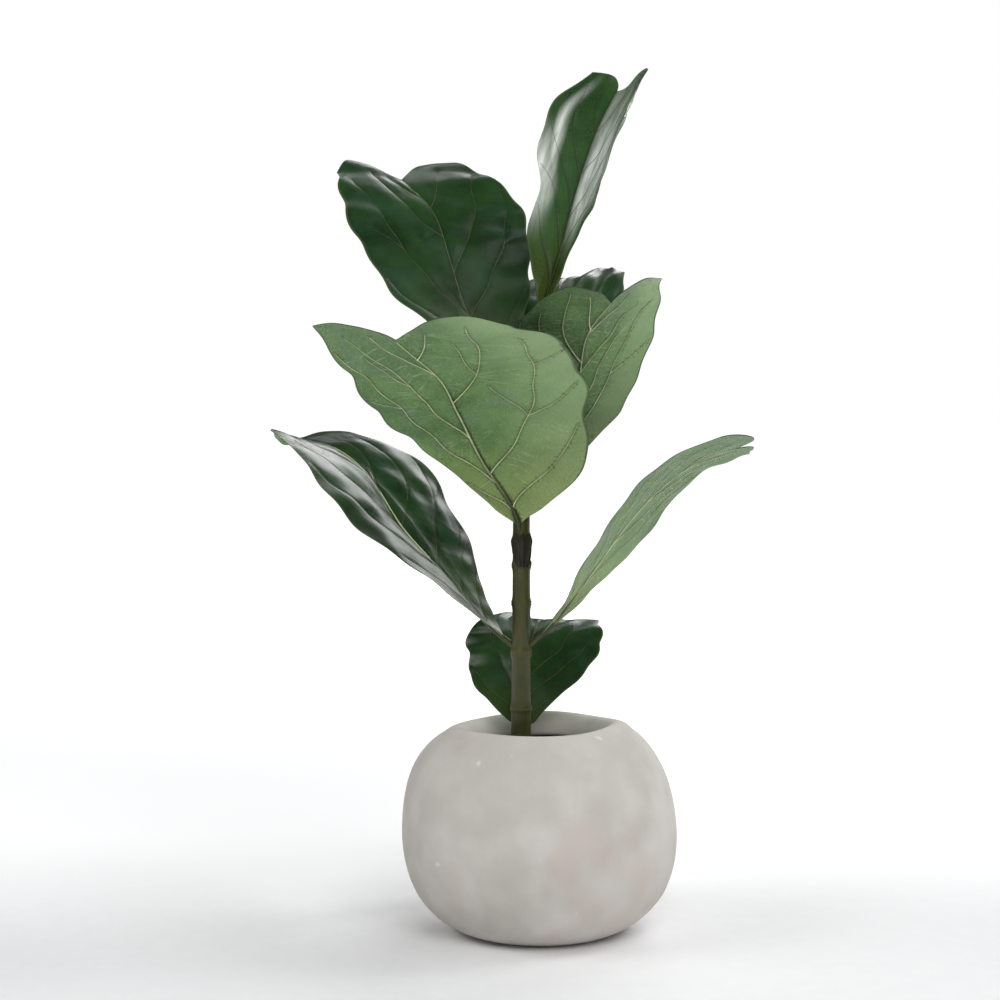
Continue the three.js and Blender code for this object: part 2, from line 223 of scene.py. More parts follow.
# %% Lights
MIDDLE = (0.0, 0.0, 0.35)
LEFT_FLOOR = (-0.3, -0.1, 0.0)
LOW_LEFT_LEAF = (-0.12, 0.03, 0.33)
TOP_LEAF = (0.04, 0.0, 0.58)
UPPER_LEFT_LEAF = (-0.08, 0.1, 0.54)
LOW_BACK_LEAF = (0.0, 0.08, 0.22)


def softbox(name, around, above, far, width, height, radiance, aim=MIDDLE, glossy=True):
    """A flat glowing panel that faces a point of the plant and is placed by angles as seen from it.

    around is 0 in front and 90 to the right, above is the angle over level, far is in metres.
    A panel that isn't glossy gives light without being mirrored in the leaves.
    """
    light = bpy.data.lights.new(name, "AREA")
    light.shape = "RECTANGLE"
    light.size, light.size_y = width, height
    light.energy = radiance * math.pi * width * height
    holder = bpy.data.objects.new(name, light)
    a, b = math.radians(around), math.radians(above)
    away = Vector((math.sin(a) * math.cos(b), -math.cos(a) * math.cos(b), math.sin(b)))
    holder.location = Vector(aim) + away * far
    holder.rotation_euler = (-away).to_track_quat("-Z", "Y").to_euler()
    holder.visible_glossy = glossy
    bpy.context.collection.objects.link(holder)


softbox("key light", 104, 36, 3.2, 1.1, 1.1, 6.4, glossy=False)
softbox("high fill", 60, 66, 3.2, 1.4, 1.4, 2.8, glossy=False)
softbox("front fill", 16, 34, 2.6, 1.8, 1.5, 4.7, glossy=False)
softbox("left fill", -66, 48, 2.2, 1.1, 1.1, 2.1, LEFT_FLOOR, glossy=False)
softbox("window behind right", 154, 32, 4.0, 2.8, 1.5, 4.5, LOW_LEFT_LEAF)
softbox("window behind left", -80, 33, 4.0, 2.2, 1.0, 4.0, TOP_LEAF)
softbox("soft top light", 84, 58, 3.0, 1.0, 0.7, 1.2, UPPER_LEFT_LEAF)
softbox("top light behind", -163, 48, 3.0, 0.9, 0.5, 1.8, LOW_BACK_LEAF)

room = bpy.data.worlds.new("room")
bpy.context.scene.world = room
room.use_nodes = True
seen = make(room.node_tree, "LightPath")["Is Camera Ray"]
fill_named(room.node_tree.nodes["Background"], Color=tint(seen, (72, 74, 76), WHITE), Strength=1.0)

# %% [markdown]
# ## Building a piece from closed patches
# Every piece is gathered from closed patches: a sheet with two faces, or rings of points that are
# closed at both ends. A patch brings its points, its faces and its place on the flat bake map, so
# that no two large patches share a spot there. A leaf also carries its own flat coordinates, which
# its vein pattern is drawn in.


# %% Patches
FAR_OFF = 20.0
PLAIN_MAPS = {
    "leaf_plane": (0.0, 0.0),
    "vein_map": (FAR_OFF, FAR_OFF, 0.0),
    "cross_map": (FAR_OFF, FAR_OFF, 0.0),
    "blade_map": (1.0, 0.0, 0.0),
}
SHARP_ANGLE = math.radians(50)
WHOLE_MAP = (0.01, 0.01, 0.99, 0.99)


def cells(rows, columns):
    """The four corners of each cell in a grid of points that is numbered row by row."""
    corner = np.arange((rows - 1) * columns).reshape(rows - 1, columns)[:, :-1].ravel()
    return np.stack([corner, corner + columns, corner + columns + 1, corner + 1], -1)


def way_along(line):
    """The way travelled from the start of a line to each of its points."""
    return np.concatenate([[0], np.cumsum(np.linalg.norm(np.diff(line, axis=0), axis=1))])


class Piece:
    """Gathers closed patches, then makes one mesh object of them."""

    def __init__(self):
        self.points, self.faces, self.finish, self.bake = [], [], [], []
        self.maps = {key: [] for key in PLAIN_MAPS}
        self.count = 0

    def add(self, points, groups, maps=None):
        """groups lists (faces, bake corners, finish). A patch that is inside out is turned."""
        volume = 0.0
        for faces, _, _ in groups:
            corner = points[faces]
            for k in range(1, faces.shape[1] - 1):
                volume += np.einsum("ij,ij", corner[:, 0], np.cross(corner[:, k], corner[:, k + 1]))
        for faces, bake, finish in groups:
            if volume < 0:
                faces, bake = faces[:, ::-1], bake[:, ::-1]
            self.faces += (faces + self.count).tolist()
            self.bake.append(bake.reshape(-1, 2))
            self.finish.append(np.full(len(faces), finish))
        self.points.append(points)
        for key, value in PLAIN_MAPS.items():
            given = (maps or {}).get(key)
            self.maps[key].append(np.tile(value, (len(points), 1)) if given is None else given)
        self.count += len(points)

    def build(self, name, node, materials):
        mesh = bpy.data.meshes.new(name)
        mesh.from_pydata(np.concatenate(self.points).tolist(), [], self.faces)
        bake = mesh.uv_layers.new(name="OFBake")
        bake.data.foreach_set("uv", np.concatenate(self.bake).ravel())
        corner = np.empty(len(mesh.loops), dtype=np.int32)
        mesh.loops.foreach_get("vertex_index", corner)
        plane = mesh.uv_layers.new(name="leaf_plane")
        plane.data.foreach_set("uv", np.concatenate(self.maps["leaf_plane"])[corner].ravel())
        for key in ("vein_map", "cross_map", "blade_map"):
            stored = mesh.attributes.new(key, "FLOAT_VECTOR", "POINT")
            stored.data.foreach_set("vector", np.concatenate(self.maps[key]).ravel())
        mesh.polygons.foreach_set("material_index", np.concatenate(self.finish))
        for material in materials:
            mesh.materials.append(material)
        mesh.shade_smooth()
        mesh.set_sharp_from_angle(angle=SHARP_ANGLE)
        shown = bpy.data.objects.new(name, mesh)
        bpy.context.collection.objects.link(shown)
        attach(shown, "root")
        if node:
            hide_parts(node)
        print(name, "triangles", sum(len(face) - 2 for face in self.faces))


def ring_patch(piece, rings, ends, levels, finish, place, maps=None):
    """Closes rings of points with a fan at each end.

    place is the patch's box on the bake map, and levels are the rings' shares of its height.
    """
    count, sides = rings.shape[:2]
    x0, y0, x1, y1 = place
    height = y0 + (y1 - y0) * levels
    row, column = np.divmod(cells(count, sides + 1), sides + 1)
    wall_map = np.stack([x0 + (x1 - x0) * column / sides, height[row]], -1)
    groups = [(row * sides + column % sides, wall_map, finish)]
    k = np.arange(sides)
    for end, ring, pair, edge in ((0, 0, (k + 1, k), y0), (1, count - 1, (k, k + 1), y1)):
        a, b = pair
        fan = np.stack([ring * sides + a % sides, ring * sides + b % sides, 0 * k + count * sides + end], -1)
        u = x0 + (x1 - x0) * np.stack([a, b, k + 0.5], -1) / sides
        v = np.stack([0 * k + height[ring], 0 * k + height[ring], 0 * k + edge], -1)
        groups.append((fan, np.stack([u, v], -1), finish))
    piece.add(np.concatenate([rings.reshape(-1, 3), ends]), groups, maps)


def tube_patch(piece, centres, sideways, upwards, radii, finish, place, sides=8, flat=1.0, maps=None):
    """A closed tube along points, with an oval section."""
    turn = np.linspace(0, 2 * np.pi, sides, endpoint=False)
    across = np.cos(turn)[None, :, None] * sideways[:, None, :]
    lift = flat * np.sin(turn)[None, :, None] * upwards[:, None, :]
    rings = centres[:, None, :] + radii[:, None, None] * (across + lift)
    spread = {
        key: np.concatenate([np.repeat(values, sides, axis=0), values[[0, -1]]])
        for key, values in (maps or {}).items()
    }
    levels = np.linspace(0, 1, len(centres))
    ring_patch(piece, rings, centres[[0, -1]], levels, finish, place, spread)


print("patch helpers ready")

# %% [markdown]
# ## Shared effects
# Four effects come back in several finishes, so each is a node group that is built once: cloudy
# blotches, a fine grain that roughens the surface, the net of the smallest veins in a leaf, and
# the painted shade, ticks and cross veins that are seen beside its larger veins.


# %% Node groups
def new_group(name, inputs, outputs):
    """A node group. A socket is given by its kind of value, or as its usual number."""
    group = bpy.data.node_groups.new(name, "ShaderNodeTree")
    for way, sockets in (("INPUT", inputs), ("OUTPUT", outputs)):
        for title, kind in sockets.items():
            plain = isinstance(kind, float)
            socket_type = "NodeSocket" + ("Float" if plain else kind)
            socket = group.interface.new_socket(title, in_out=way, socket_type=socket_type)
            if plain:
                socket.default_value = kind
    return group, Outputs(group.nodes.new("NodeGroupInput")), group.nodes.new("NodeGroupOutput")


def place_group(group, **inputs):
    """Places a group in the tree that its signals come from."""
    tree = next(value.tree for value in inputs.values() if isinstance(value, Signal))
    return make(tree, "Group", {"node_tree": group}, **inputs)


blotches, start, end = new_group(
    "cloudy blotches",
    {"Vector": "Vector", "Scale": 5.0, "Light": "Color", "Dark": "Color"},
    {"Color": "Color", "Share": "Float"},
)
broad = noise(start["Vector"], start["Scale"], 3.0, 0.6)
small = noise(start["Vector"], start["Scale"] * 4.3, 5.0, 0.6)
share = remap(broad * 0.7 + small * 0.3, 0.36, 0.64)
fill_named(end, Color=tint(share, start["Dark"], start["Light"]), Share=share)


def clouded(where, scale, light, dark):
    """Blotches between a light and a dark colour, and the share of the light one."""
    made = place_group(blotches, Vector=where, Scale=scale, Light=colour(*light), Dark=colour(*dark))
    return made["Color"], made["Share"]


grain, start, end = new_group(
    "fine grain",
    {"Vector": "Vector", "Scale": 300.0, "Pits": 0.3},
    {"Height": "Float", "Speck": "Float"},
)
sand = noise(start["Vector"], start["Scale"], 6.0, 0.7)
pit = remap(noise(start["Vector"], start["Scale"] * 0.22, 3.0, 0.5), 0.62, 0.72)
fill_named(end, Height=sand - pit * start["Pits"], Speck=remap(sand, 0.62, 0.7))

leaf_net, start, end = new_group(
    "leaf net",
    {"Plane": "Vector"},
    {"Net": "Float", "Fine Net": "Float", "Cell": "Float", "Height": "Float"},
)
wander = make(leaf_net, "TexNoise", Vector=start["Plane"], Scale=9.0, Detail=2.0)["Color"]
shift = make(leaf_net, "VectorMath", {"operation": "SCALE"}, (wander,), Scale=0.05)[0]
moved = make(leaf_net, "VectorMath", {"operation": "ADD"}, (start["Plane"], shift))[0]
WIDE_NET, FINE_NET = 22.0, 46.0


def net_lines(scale, width):
    to_edge = {"feature": "DISTANCE_TO_EDGE"}
    lines = make(leaf_net, "TexVoronoi", to_edge, Vector=moved, Scale=scale)["Distance"]
    return remap(lines, 0.0, width, 1.0, 0.0)


wide_net, fine_net = net_lines(WIDE_NET, 0.07), net_lines(FINE_NET, 0.12)
cell = make(leaf_net, "TexVoronoi", Vector=moved, Scale=WIDE_NET)["Color"]
cell_shade = make(leaf_net, "SeparateColor", Color=cell)[0]
net_height = wide_net * 0.8 + fine_net * 0.2
fill_named(end, Net=wide_net, Fine_Net=fine_net, Cell=cell_shade, Height=net_height)

beside_veins, start, end = new_group(
    "beside the veins",
    {"Vein Map": "Vector", "Cross Map": "Vector", "Plane": "Vector"},
    {"Border": "Float", "Ticks": "Float", "Cross Vein": "Float", "Thick": "Float"},
)


def true_distance(parts):
    """Distance that stays sharp at a line: its sign changes there, and far off the plain one counts."""
    return calc("MAXIMUM", calc("ABSOLUTE", parts["X"]), parts["Y"] - 1.8)


plane = start["Plane"]
vein_parts = make(beside_veins, "SeparateXYZ", Vector=start["Vein Map"])
cross_parts = make(beside_veins, "SeparateXYZ", Vector=start["Cross Map"])
off_vein = true_distance(vein_parts) - vein_parts["Z"]
frayed = noise(plane, 70.0, 3.0) * 1.6
slanted = cross_parts["Z"] * 1.4 + noise(plane, 9.0, 1.0) * 6.0
stripes = remap(calc("SINE", slanted + off_vein * 0.5), 0.6, 0.98)
near_vein = remap(off_vein, 0.5, 4.5, 1.0, 0.0) * remap(noise(plane, 16.0, 2.0), 0.42, 0.6)
broken = remap(noise(plane, 6.0, 2.0), 0.4, 0.62, 0.15, 1.0)
# The painted shade darkens the blade along each vein, where vein and blade meet.
fill_named(
    end,
    Border=remap(off_vein + frayed - 0.8, 0.0, 2.4, 1.0, 0.0),
    Ticks=stripes * near_vein,
    Cross_Vein=remap(true_distance(cross_parts), 0.2, 0.8, 1.0, 0.0) * broken,
    Thick=remap(vein_parts["Z"], 0.3, 0.9),
)
print("groups", [group.name for group in bpy.data.node_groups])

# %% [markdown]
# ## Planter
# The planter is cast or pressed by hand: its belly has broad shallow facets and its lip is soft and
# uneven. A turned form gives the round body, and slow waves pushed into it give the hand's work.
# Turning keeps the wall an even thickness, which sculpting by random noise alone would not.

# %% Planter form
POT_WIDTH, BELLY_HEIGHT, LIP_HEIGHT = 217.0, 78.0, 165.0
BASE_FLAT_WIDTH, SHOULDER_RUN_IN = 98.0, 52.0
WALL, FLOOR_THICKNESS = 12.0, 14.0
LIP_TILT, LIP_WAVE = 2.2, 1.4
HAND_SWELLS = [(0.012, 2, 0.0, 0.4), (0.014, 3, 2.2, 0.6), (0.010, 5, -3.1, 1.9)]
PRESSES, PRESS_DEPTH, PRESS_SOFTNESS, PRESS_START, PRESS_EASE = 34, 0.9, 22, 70, 12
LIP = [(70.5, 163.5), (65.0, 165.4), (59.0, 164.4), (54.0, 159.5), (51.0, 152.5), (51.5, 146.5)]


def arc(centre_radius, centre_height, run, rise, start, end, steps):
    turn = np.radians(np.linspace(start, end, steps + 1))
    return np.stack([centre_radius + run * np.cos(turn), centre_height + rise * np.sin(turn)], -1)


def shoulder(wide, rise, end, steps):
    """The wall above the belly: an arc from its widest point in towards the lip."""
    return arc(wide - SHOULDER_RUN_IN, BELLY_HEIGHT, SHOULDER_RUN_IN, rise, 0, end, steps)


def rounded(profile, times=3):
    """Cuts the corners of a profile again and again, and keeps its two ends."""
    for _ in range(times):
        a, b = profile[:-1], profile[1:]
        cut = np.stack([0.75 * a + 0.25 * b, 0.25 * a + 0.75 * b], 1).reshape(-1, 2)
        profile = np.concatenate([profile[:1], cut, profile[-1:]])
    return profile


def shape_by_hand(points):
    x, y, z = points.T
    angle, level = np.arctan2(y, x), z / LIP_HEIGHT
    swell = sum(d * np.cos(f * angle + t * level + p) for d, f, t, p in HAND_SWELLS)
    spread = 1 + swell * np.minimum(1, level * 5)
    lift = level ** 4 * (LIP_TILT * np.cos(angle) + LIP_WAVE * np.cos(3 * angle + 1.1))
    return np.stack([x * spread, y * spread, z + lift], -1)


def facets(points, seed):
    """Shallow flats, each left by one press of the hand: a flat where a random direction wins."""
    ways = np.random.default_rng(seed).normal(size=(PRESSES, 3))
    ways /= np.linalg.norm(ways, axis=1)[:, None]
    out = points - np.array([0, 0, BELLY_HEIGHT])
    out /= np.linalg.norm(out, axis=1)[:, None]
    nearest_ways = np.sort(out @ ways.T, axis=1)[:, ::-1][:, :4]
    soft = np.log(np.exp(PRESS_SOFTNESS * nearest_ways).sum(axis=1)) / PRESS_SOFTNESS
    return PRESS_DEPTH * (soft.mean() - soft) / soft.std()


inner_radius = POT_WIDTH / 2 - WALL
inner_run = inner_radius - BASE_FLAT_WIDTH / 2 + WALL
outer = np.concatenate([
    [(0.0, 0.0), (20.0, 0.0), (40.0, 0.0)],
    arc(BASE_FLAT_WIDTH / 2, BELLY_HEIGHT, (POT_WIDTH - BASE_FLAT_WIDTH) / 2, BELLY_HEIGHT, -90, 0, 26),
    shoulder(POT_WIDTH / 2, LIP_HEIGHT - BELLY_HEIGHT, 68, 20)[1:],
])
inner = np.concatenate([
    [(0.0, FLOOR_THICKNESS), (20.0, FLOOR_THICKNESS)],
    arc(inner_radius - inner_run, BELLY_HEIGHT, inner_run, BELLY_HEIGHT - FLOOR_THICKNESS, -90, 0, 14),
    shoulder(inner_radius, LIP_HEIGHT - WALL - BELLY_HEIGHT, 58, 14)[1:],
])
pot_profile = rounded(np.concatenate([outer, LIP, inner[::-1]]), 2)


def turned_patch(piece, profile, sides, shape, place=WHOLE_MAP):
    """Turns a profile that starts and ends on the axis, and shapes it afterwards."""
    middle = profile[1:-1]
    turn = np.linspace(0, 2 * np.pi, sides, endpoint=False)
    radius, height = middle[:, :1], middle[:, 1:]
    rings = np.stack([radius * np.cos(turn), radius * np.sin(turn), height + 0 * turn], -1)
    ends = np.array([[0, 0, profile[0, 1]], [0, 0, profile[-1, 1]]])
    points = shape(np.concatenate([rings.reshape(-1, 3), ends])) * MM
    travelled = way_along(middle)
    levels = 0.02 + 0.96 * travelled / travelled[-1]
    ring_patch(piece, points[:-2].reshape(rings.shape), points[-2:], levels, 0, place)


def shape_pot(points):
    shaped = shape_by_hand(points)
    away = shaped - np.array([0, 0, BELLY_HEIGHT])
    size = np.linalg.norm(away, axis=1)
    above_base = np.clip(shaped[:, 2] / PRESS_EASE, 0, 1)
    outside = np.clip((size - PRESS_START) / PRESS_EASE, 0, 1) * above_base
    push = facets(shaped, 4) * outside
    return shaped + away / size[:, None] * push[:, None]


print("planter profile points", len(pot_profile))

# %% Planter finish
stone, tree, shader = new_material("cast stone")
where = object_place(tree)
body, cloud = clouded(where, 9.0, (207, 203, 198), (190, 186, 179))
elsewhere = make(tree, "Mapping", Vector=where, Location=(0.7, 0.3, 0.2))[0]
warm, cool = remap(noise(where, 11.0, 2.0), 0.52, 0.72), remap(noise(elsewhere, 8.0, 2.0), 0.55, 0.75)
sand = place_group(grain, Vector=where, Scale=420.0, Pits=0.25)
fleck = remap(noise(where, 60.0, 1.0), 0.74, 0.78)
body = layered(
    body, (warm * 0.55, (193, 176, 166)), (cool * 0.5, (205, 207, 206)),
    (sand["Speck"] * 0.25, (168, 162, 152)), (fleck * 0.5, (226, 224, 220)),
)
rough = remap(cloud, 0.0, 1.0, 0.86, 0.72)
dress(shader, body, rough, sand["Height"], 0.0006, 0.35, Specular_IOR_Level=0.3)

pot = Piece()
turned_patch(pot, pot_profile, 180, shape_pot)
pot.build("planter", "pot", [stone])

# %% [markdown]
# ## Potting mix
# The soil stands below the lip, so it is seen only from above. It is a rough mound of bark and peat
# with crumbs on it. The crumbs are small closed lumps in one piece, which costs less than modelling
# each by hand and still gives real edges and shadows.

# %% Potting mix form
SOIL_FOOT, SOIL_HEIGHT, SOIL_MOUND, SOIL_GAP, SOIL_ROUGHNESS = 80.0, 138.0, 4.0, 0.5, 0.9
SOIL_SEED = 7
soil_wall = shoulder(inner_radius - SOIL_GAP, LIP_HEIGHT - WALL - BELLY_HEIGHT, 43, 10)
soil_edge = float(np.interp(SOIL_HEIGHT, soil_wall[:, 1], soil_wall[:, 0]))
soil_side = [(r, z) for r, z in soil_wall if z < SOIL_HEIGHT - 1]
soil_top = [(soil_edge * s, SOIL_HEIGHT + SOIL_MOUND * (1 - s * s)) for s in np.linspace(1, 0, 60)]
soil_profile = np.array([(0.0, SOIL_FOOT), (20.0, SOIL_FOOT), *soil_side, *soil_top])


def lumps(x, y, seed, sizes=(23.0, 11.0, 5.2)):
    """Smooth uneven ground: waves of several lengths in many directions."""
    chooser = np.random.default_rng(seed)
    total = np.zeros_like(x)
    for size in sizes:
        for _ in range(7):
            way, phase = chooser.uniform(0, 2 * np.pi, 2)
            wave = 2 * np.pi / (size * chooser.uniform(0.8, 1.25))
            total += size / sizes[0] * np.sin(wave * (x * np.cos(way) + y * np.sin(way)) + phase)
    return total / 2.6


def shape_soil(points):
    shaped = shape_by_hand(points)
    x, y, z = shaped.T
    inside = np.clip((soil_edge - np.hypot(points[:, 0], points[:, 1])) / 4, 0, 1) * (z > SOIL_HEIGHT - 1)
    return np.stack([x, y, z + inside * lumps(x, y, SOIL_SEED) * SOIL_ROUGHNESS], -1)


def crumb(piece, centre, size, seed, finish):
    """One uneven closed lump, from a coarse ball whose points are moved in and out."""
    chooser = np.random.default_rng(seed)
    stretch = chooser.uniform(0.5, 1.2, 3) * size
    turn = np.linspace(0, 2 * np.pi, 7)[:-1]
    rings = [
        np.stack([np.cos(turn) * math.sin(a), np.sin(turn) * math.sin(a), np.full(6, math.cos(a))], -1)
        for a in (2.6, 1.9, 1.2, 0.5)
    ]
    ball = np.stack(rings) * (1 + 0.22 * chooser.normal(size=(4, 6, 1)))
    spin = chooser.uniform(0, 2 * np.pi)
    tilt = np.array([[math.cos(spin), -math.sin(spin), 0], [math.sin(spin), math.cos(spin), 0], [0, 0, 1]])
    points = (ball * stretch) @ tilt.T + centre
    poles = np.array([[0, 0, -1.0], [0, 0, 1.0]]) * stretch + centre
    x, y = chooser.uniform(0.0, 0.98, 2)
    place = (x, y, x + 0.015, y + 0.015)
    ring_patch(piece, points * MM, poles * MM, np.linspace(0, 1, 4), finish, place)


print("soil edge", round(soil_edge, 1))


# %% Potting mix finish
def crumbly(name, light, dark, rough):
    material, tree, shader = new_material(name)
    where = object_place(tree)
    body, cloud = clouded(where, 120.0, light, dark)
    bits = place_group(grain, Vector=where, Scale=900.0, Pits=0.6)
    body = tint(bits["Speck"], body, light)
    dress(shader, body, remap(cloud, 0.0, 1.0, rough, rough - 0.15), bits["Height"], 0.001, 0.8)
    return material


peat = crumbly("peat", (70, 52, 40), (34, 25, 19), 0.98)
bark = crumbly("bark chips", (112, 82, 58), (62, 43, 31), 0.9)
perlite = crumbly("white grit", (222, 218, 208), (180, 174, 163), 0.95)

soil = Piece()
turned_patch(soil, soil_profile, 140, shape_soil, (0.01, 0.01, 0.99, 0.6))
soil.build("potting_mix", "soil", [peat])

CRUMBS, STEM_CLEARANCE = 330, 12
STEM_X = -14.0
chooser = np.random.default_rng(11)
crumbs = Piece()
for number in range(CRUMBS):
    angle, share = chooser.uniform(0, 2 * math.pi), math.sqrt(chooser.uniform(0.02, 0.9))
    x, y = soil_edge * share * math.cos(angle), soil_edge * share * math.sin(angle)
    if math.hypot(x - STEM_X, y) < STEM_CLEARANCE:
        continue
    lump = float(lumps(np.array([x]), np.array([y]), SOIL_SEED)[0])
    ground = SOIL_HEIGHT + SOIL_MOUND * (1 - share * share) + SOIL_ROUGHNESS * lump
    size = chooser.choice([1.2, 1.6, 2.2, 3.2])
    kind = chooser.choice([0, 0, 0, 1, 1, 2]) if size < 3 else 1
    crumb(crumbs, np.array([x, y, ground + 0.25 * size]), size, number, kind)
crumbs.build("bark_and_grit", None, [peat, bark, perlite])

# %% [markdown]
# ## Stem
# The stem is an olive shoot that thins upwards. Each leaf that grew on it left a ring, and its young
# bark has fine lengthwise streaks and small corky spots. It is turned like the planter, with rings
# raised in the profile, and slow ribs keep it from looking machined. A side bud on it is a short
# closed tube that swells in the middle.

# %% Stem form
STEM_FOOT, STEM_TOP, BUD_TOP = 60.0, 472.0, 494.0
SCARS = [178, 262, 292, 372]
JOINTS = [432, 466, 312, 337, 222, 222, 146, 395]
STEM_RADIUS, STEM_TAPER, TAPER_START = 8, 0.0073, 154
RING_BULGE, RING_REACH, CREASE_DEPTH, CREASE_OFFSET, CREASE_REACH = 0.9, 3.5, 0.28, 1.3, 0.6


def near_rings(height, reach, offset=0.0):
    """Is 1 at each ring, or at an offset from it, and falls off within a reach."""
    return sum(np.exp(-((height - ring - offset) / reach) ** 2) for ring in SCARS + JOINTS)


def stem_radius(height):
    bulge = RING_BULGE * np.minimum(1, near_rings(height, RING_REACH))
    return STEM_RADIUS - STEM_TAPER * (height - TAPER_START) + bulge


def ring_creases(height):
    """Two thin lips with a groove between them round each ring."""
    above, below = (near_rings(height, CREASE_REACH, offset) for offset in (CREASE_OFFSET, -CREASE_OFFSET))
    return CREASE_DEPTH * np.minimum(1.2, above + below)


stem_start = STEM_FOOT + 40
stem_heights = np.arange(stem_start, STEM_TOP, 0.8)
stem_bud = [(stem_radius(STEM_TOP), STEM_TOP), (3.6, STEM_TOP + 8), (2.6, STEM_TOP + 14), (0.0, BUD_TOP)]
stem_profile = np.concatenate([
    [(0.0, stem_start)],
    np.stack([stem_radius(stem_heights) + ring_creases(stem_heights), stem_heights], -1),
    rounded(np.array(stem_bud))[1:],
])


def shape_stem(points):
    x, y, z = points.T
    angle = np.arctan2(y, x)
    ribs = 1 + 0.012 * np.cos(3 * angle + z / 60) + 0.008 * np.cos(7 * angle - z / 35 + 1.0)
    return np.stack([x * ribs + STEM_X, y * ribs, z], -1)


print("stem profile points", len(stem_profile))

# %% Stem finish
young_bark, tree, shader = new_material("young bark")
where = object_place(tree)
streaked = stretched(where, (1.0, 1.0, 0.06))
body, _ = clouded(where, 26.0, (64, 66, 32), (42, 50, 20))
streak = remap(noise(streaked, 330.0), 0.42, 0.62)
grey = remap(noise(streaked, 90.0, 3.0), 0.55, 0.68)
cork = remap(noise(stretched(where, (1, 1, 0.45)), 420.0, 2.0), 0.70, 0.76)
body = layered(
    body, (streak * 0.4, (84, 80, 44)), (grey * 0.35, (104, 98, 80)), (cork * 0.5, (122, 114, 82)),
)
bark_grain = place_group(grain, Vector=streaked, Scale=700.0, Pits=0.4)
dress(shader, body, remap(streak, 0.0, 1.0, 0.42, 0.6), bark_grain["Height"] + cork, 0.0004, 0.5)

stem = Piece()
turned_patch(stem, stem_profile, 64, shape_stem)
stem.build("stem_skin", "stem", [young_bark])

# %% Side bud
BUD_HEIGHT, BUD_LENGTH, BUD_LEAN, BUD_SEAT, BUD_RADIUS = 289.0, 7.5, 1.6, 6.2, 2.0
bud_out = np.array([0.94, -0.34, 0.0])
bud_share = np.linspace(0, 1, 15)
bud_foot = np.array([STEM_X, 0, BUD_HEIGHT]) + BUD_SEAT * bud_out
bud_centres = bud_foot + np.outer(bud_share, BUD_LEAN * bud_out + np.array([0, 0, BUD_LENGTH]))
bud_radii = BUD_RADIUS * np.sqrt(np.clip(np.sin(np.pi * bud_share ** 0.75), 0.004, 1))
bud_across, bud_outward = (np.tile(way, (15, 1)) for way in (np.cross(bud_out, [0, 0, 1.0]), bud_out))
bud = Piece()
tube_patch(bud, bud_centres * MM, bud_across, bud_outward, bud_radii * MM, 0, WHOLE_MAP, 16, 0.8)
bud.build("side_bud", None, [young_bark])

# %% [markdown]
# ## Dry sheath
# When a new leaf opens, the scale that held it dries to a dark brown paper that clasps the stem. It
# is a thin curved sheet with a torn upper edge, so it is built from two matching grids of points.

# %% Dry sheath form and finish
husk, tree, shader = new_material("dry husk")
where = object_place(tree)
body, cloud = clouded(where, 140.0, (40, 38, 24), (18, 19, 12))
fibre = remap(noise(stretched(where, (1.0, 1.0, 0.08)), 900.0), 0.45, 0.62)
body = tint(fibre * 0.5, body, (58, 54, 34))
dress(shader, body, remap(cloud, 0.0, 1.0, 0.5, 0.75), fibre, 0.0003, 0.6)


def sheet_patch(piece, upper, lower, finishes, maps=None):
    """Closes two matching grids of points along their border. finishes are upper, lower and rim."""
    rows, columns = upper.shape[:2]
    count = rows * columns
    grid = np.arange(count).reshape(rows, columns)
    edge = np.concatenate([grid[0], grid[1:, -1], grid[-1, -2::-1], grid[-2:0:-1, 0]])
    ahead = np.roll(edge, -1)
    face = cells(rows, columns)
    v, u = np.meshgrid(np.linspace(0.005, 0.995, rows), np.linspace(0, 0.44, columns), indexing="ij")
    upper_map, lower_map = (np.stack([first + u, v], -1).reshape(-1, 2) for first in (0.005, 0.455))
    rim = np.stack([edge, ahead, ahead + count, edge + count], -1)
    rim_map = np.stack([upper_map[edge], upper_map[ahead], upper_map[ahead], upper_map[edge]], 1)
    groups = [
        (face, upper_map[face], finishes[0]),
        (face[:, ::-1] + count, lower_map[face[:, ::-1]], finishes[1]),
        (rim, rim_map, finishes[2]),
    ]
    points = np.concatenate([upper.reshape(-1, 3), lower.reshape(-1, 3)])
    piece.add(points, groups, {key: np.tile(values, (2, 1)) for key, values in (maps or {}).items()})


SHEATH_FOOT, SHEATH_HEIGHT, SHEATH_THICKNESS, SHEATH_GAP = 291.5, 25.5, 0.45, 0.25
SHEATH_FACES, SHEATH_HALF_ANGLE = -84, 74
share = np.linspace(0, 1, 30)[:, None]
turn = np.linspace(-1, 1, 34)[None, :]
half_angle = SHEATH_HALF_ANGLE * np.sin(np.pi * (0.08 + 0.62 * share)) ** 0.8
angle = np.radians(SHEATH_FACES + half_angle * turn)
torn = 1.3 * share * np.sin(9 * turn + 1.0) + 0.8 * share * np.sin(23 * turn)
sheath_height = SHEATH_FOOT + SHEATH_HEIGHT * share + torn
puff = 0.5 + 0.9 * np.sin(np.pi * share) * np.cos(turn * 1.4) + 0.25 * np.sin(14 * turn + 3 * share)
sheath_radius = stem_radius(sheath_height) + SHEATH_GAP + puff
outer_skin, inner_skin = (
    np.stack([STEM_X + r * np.cos(angle), r * np.sin(angle), sheath_height], -1) * MM
    for r in (sheath_radius + SHEATH_THICKNESS, sheath_radius)
)
sheath = Piece()
sheet_patch(sheath, outer_skin, inner_skin, (0, 0, 0))
sheath.build("dry_sheath", "sheath", [husk])

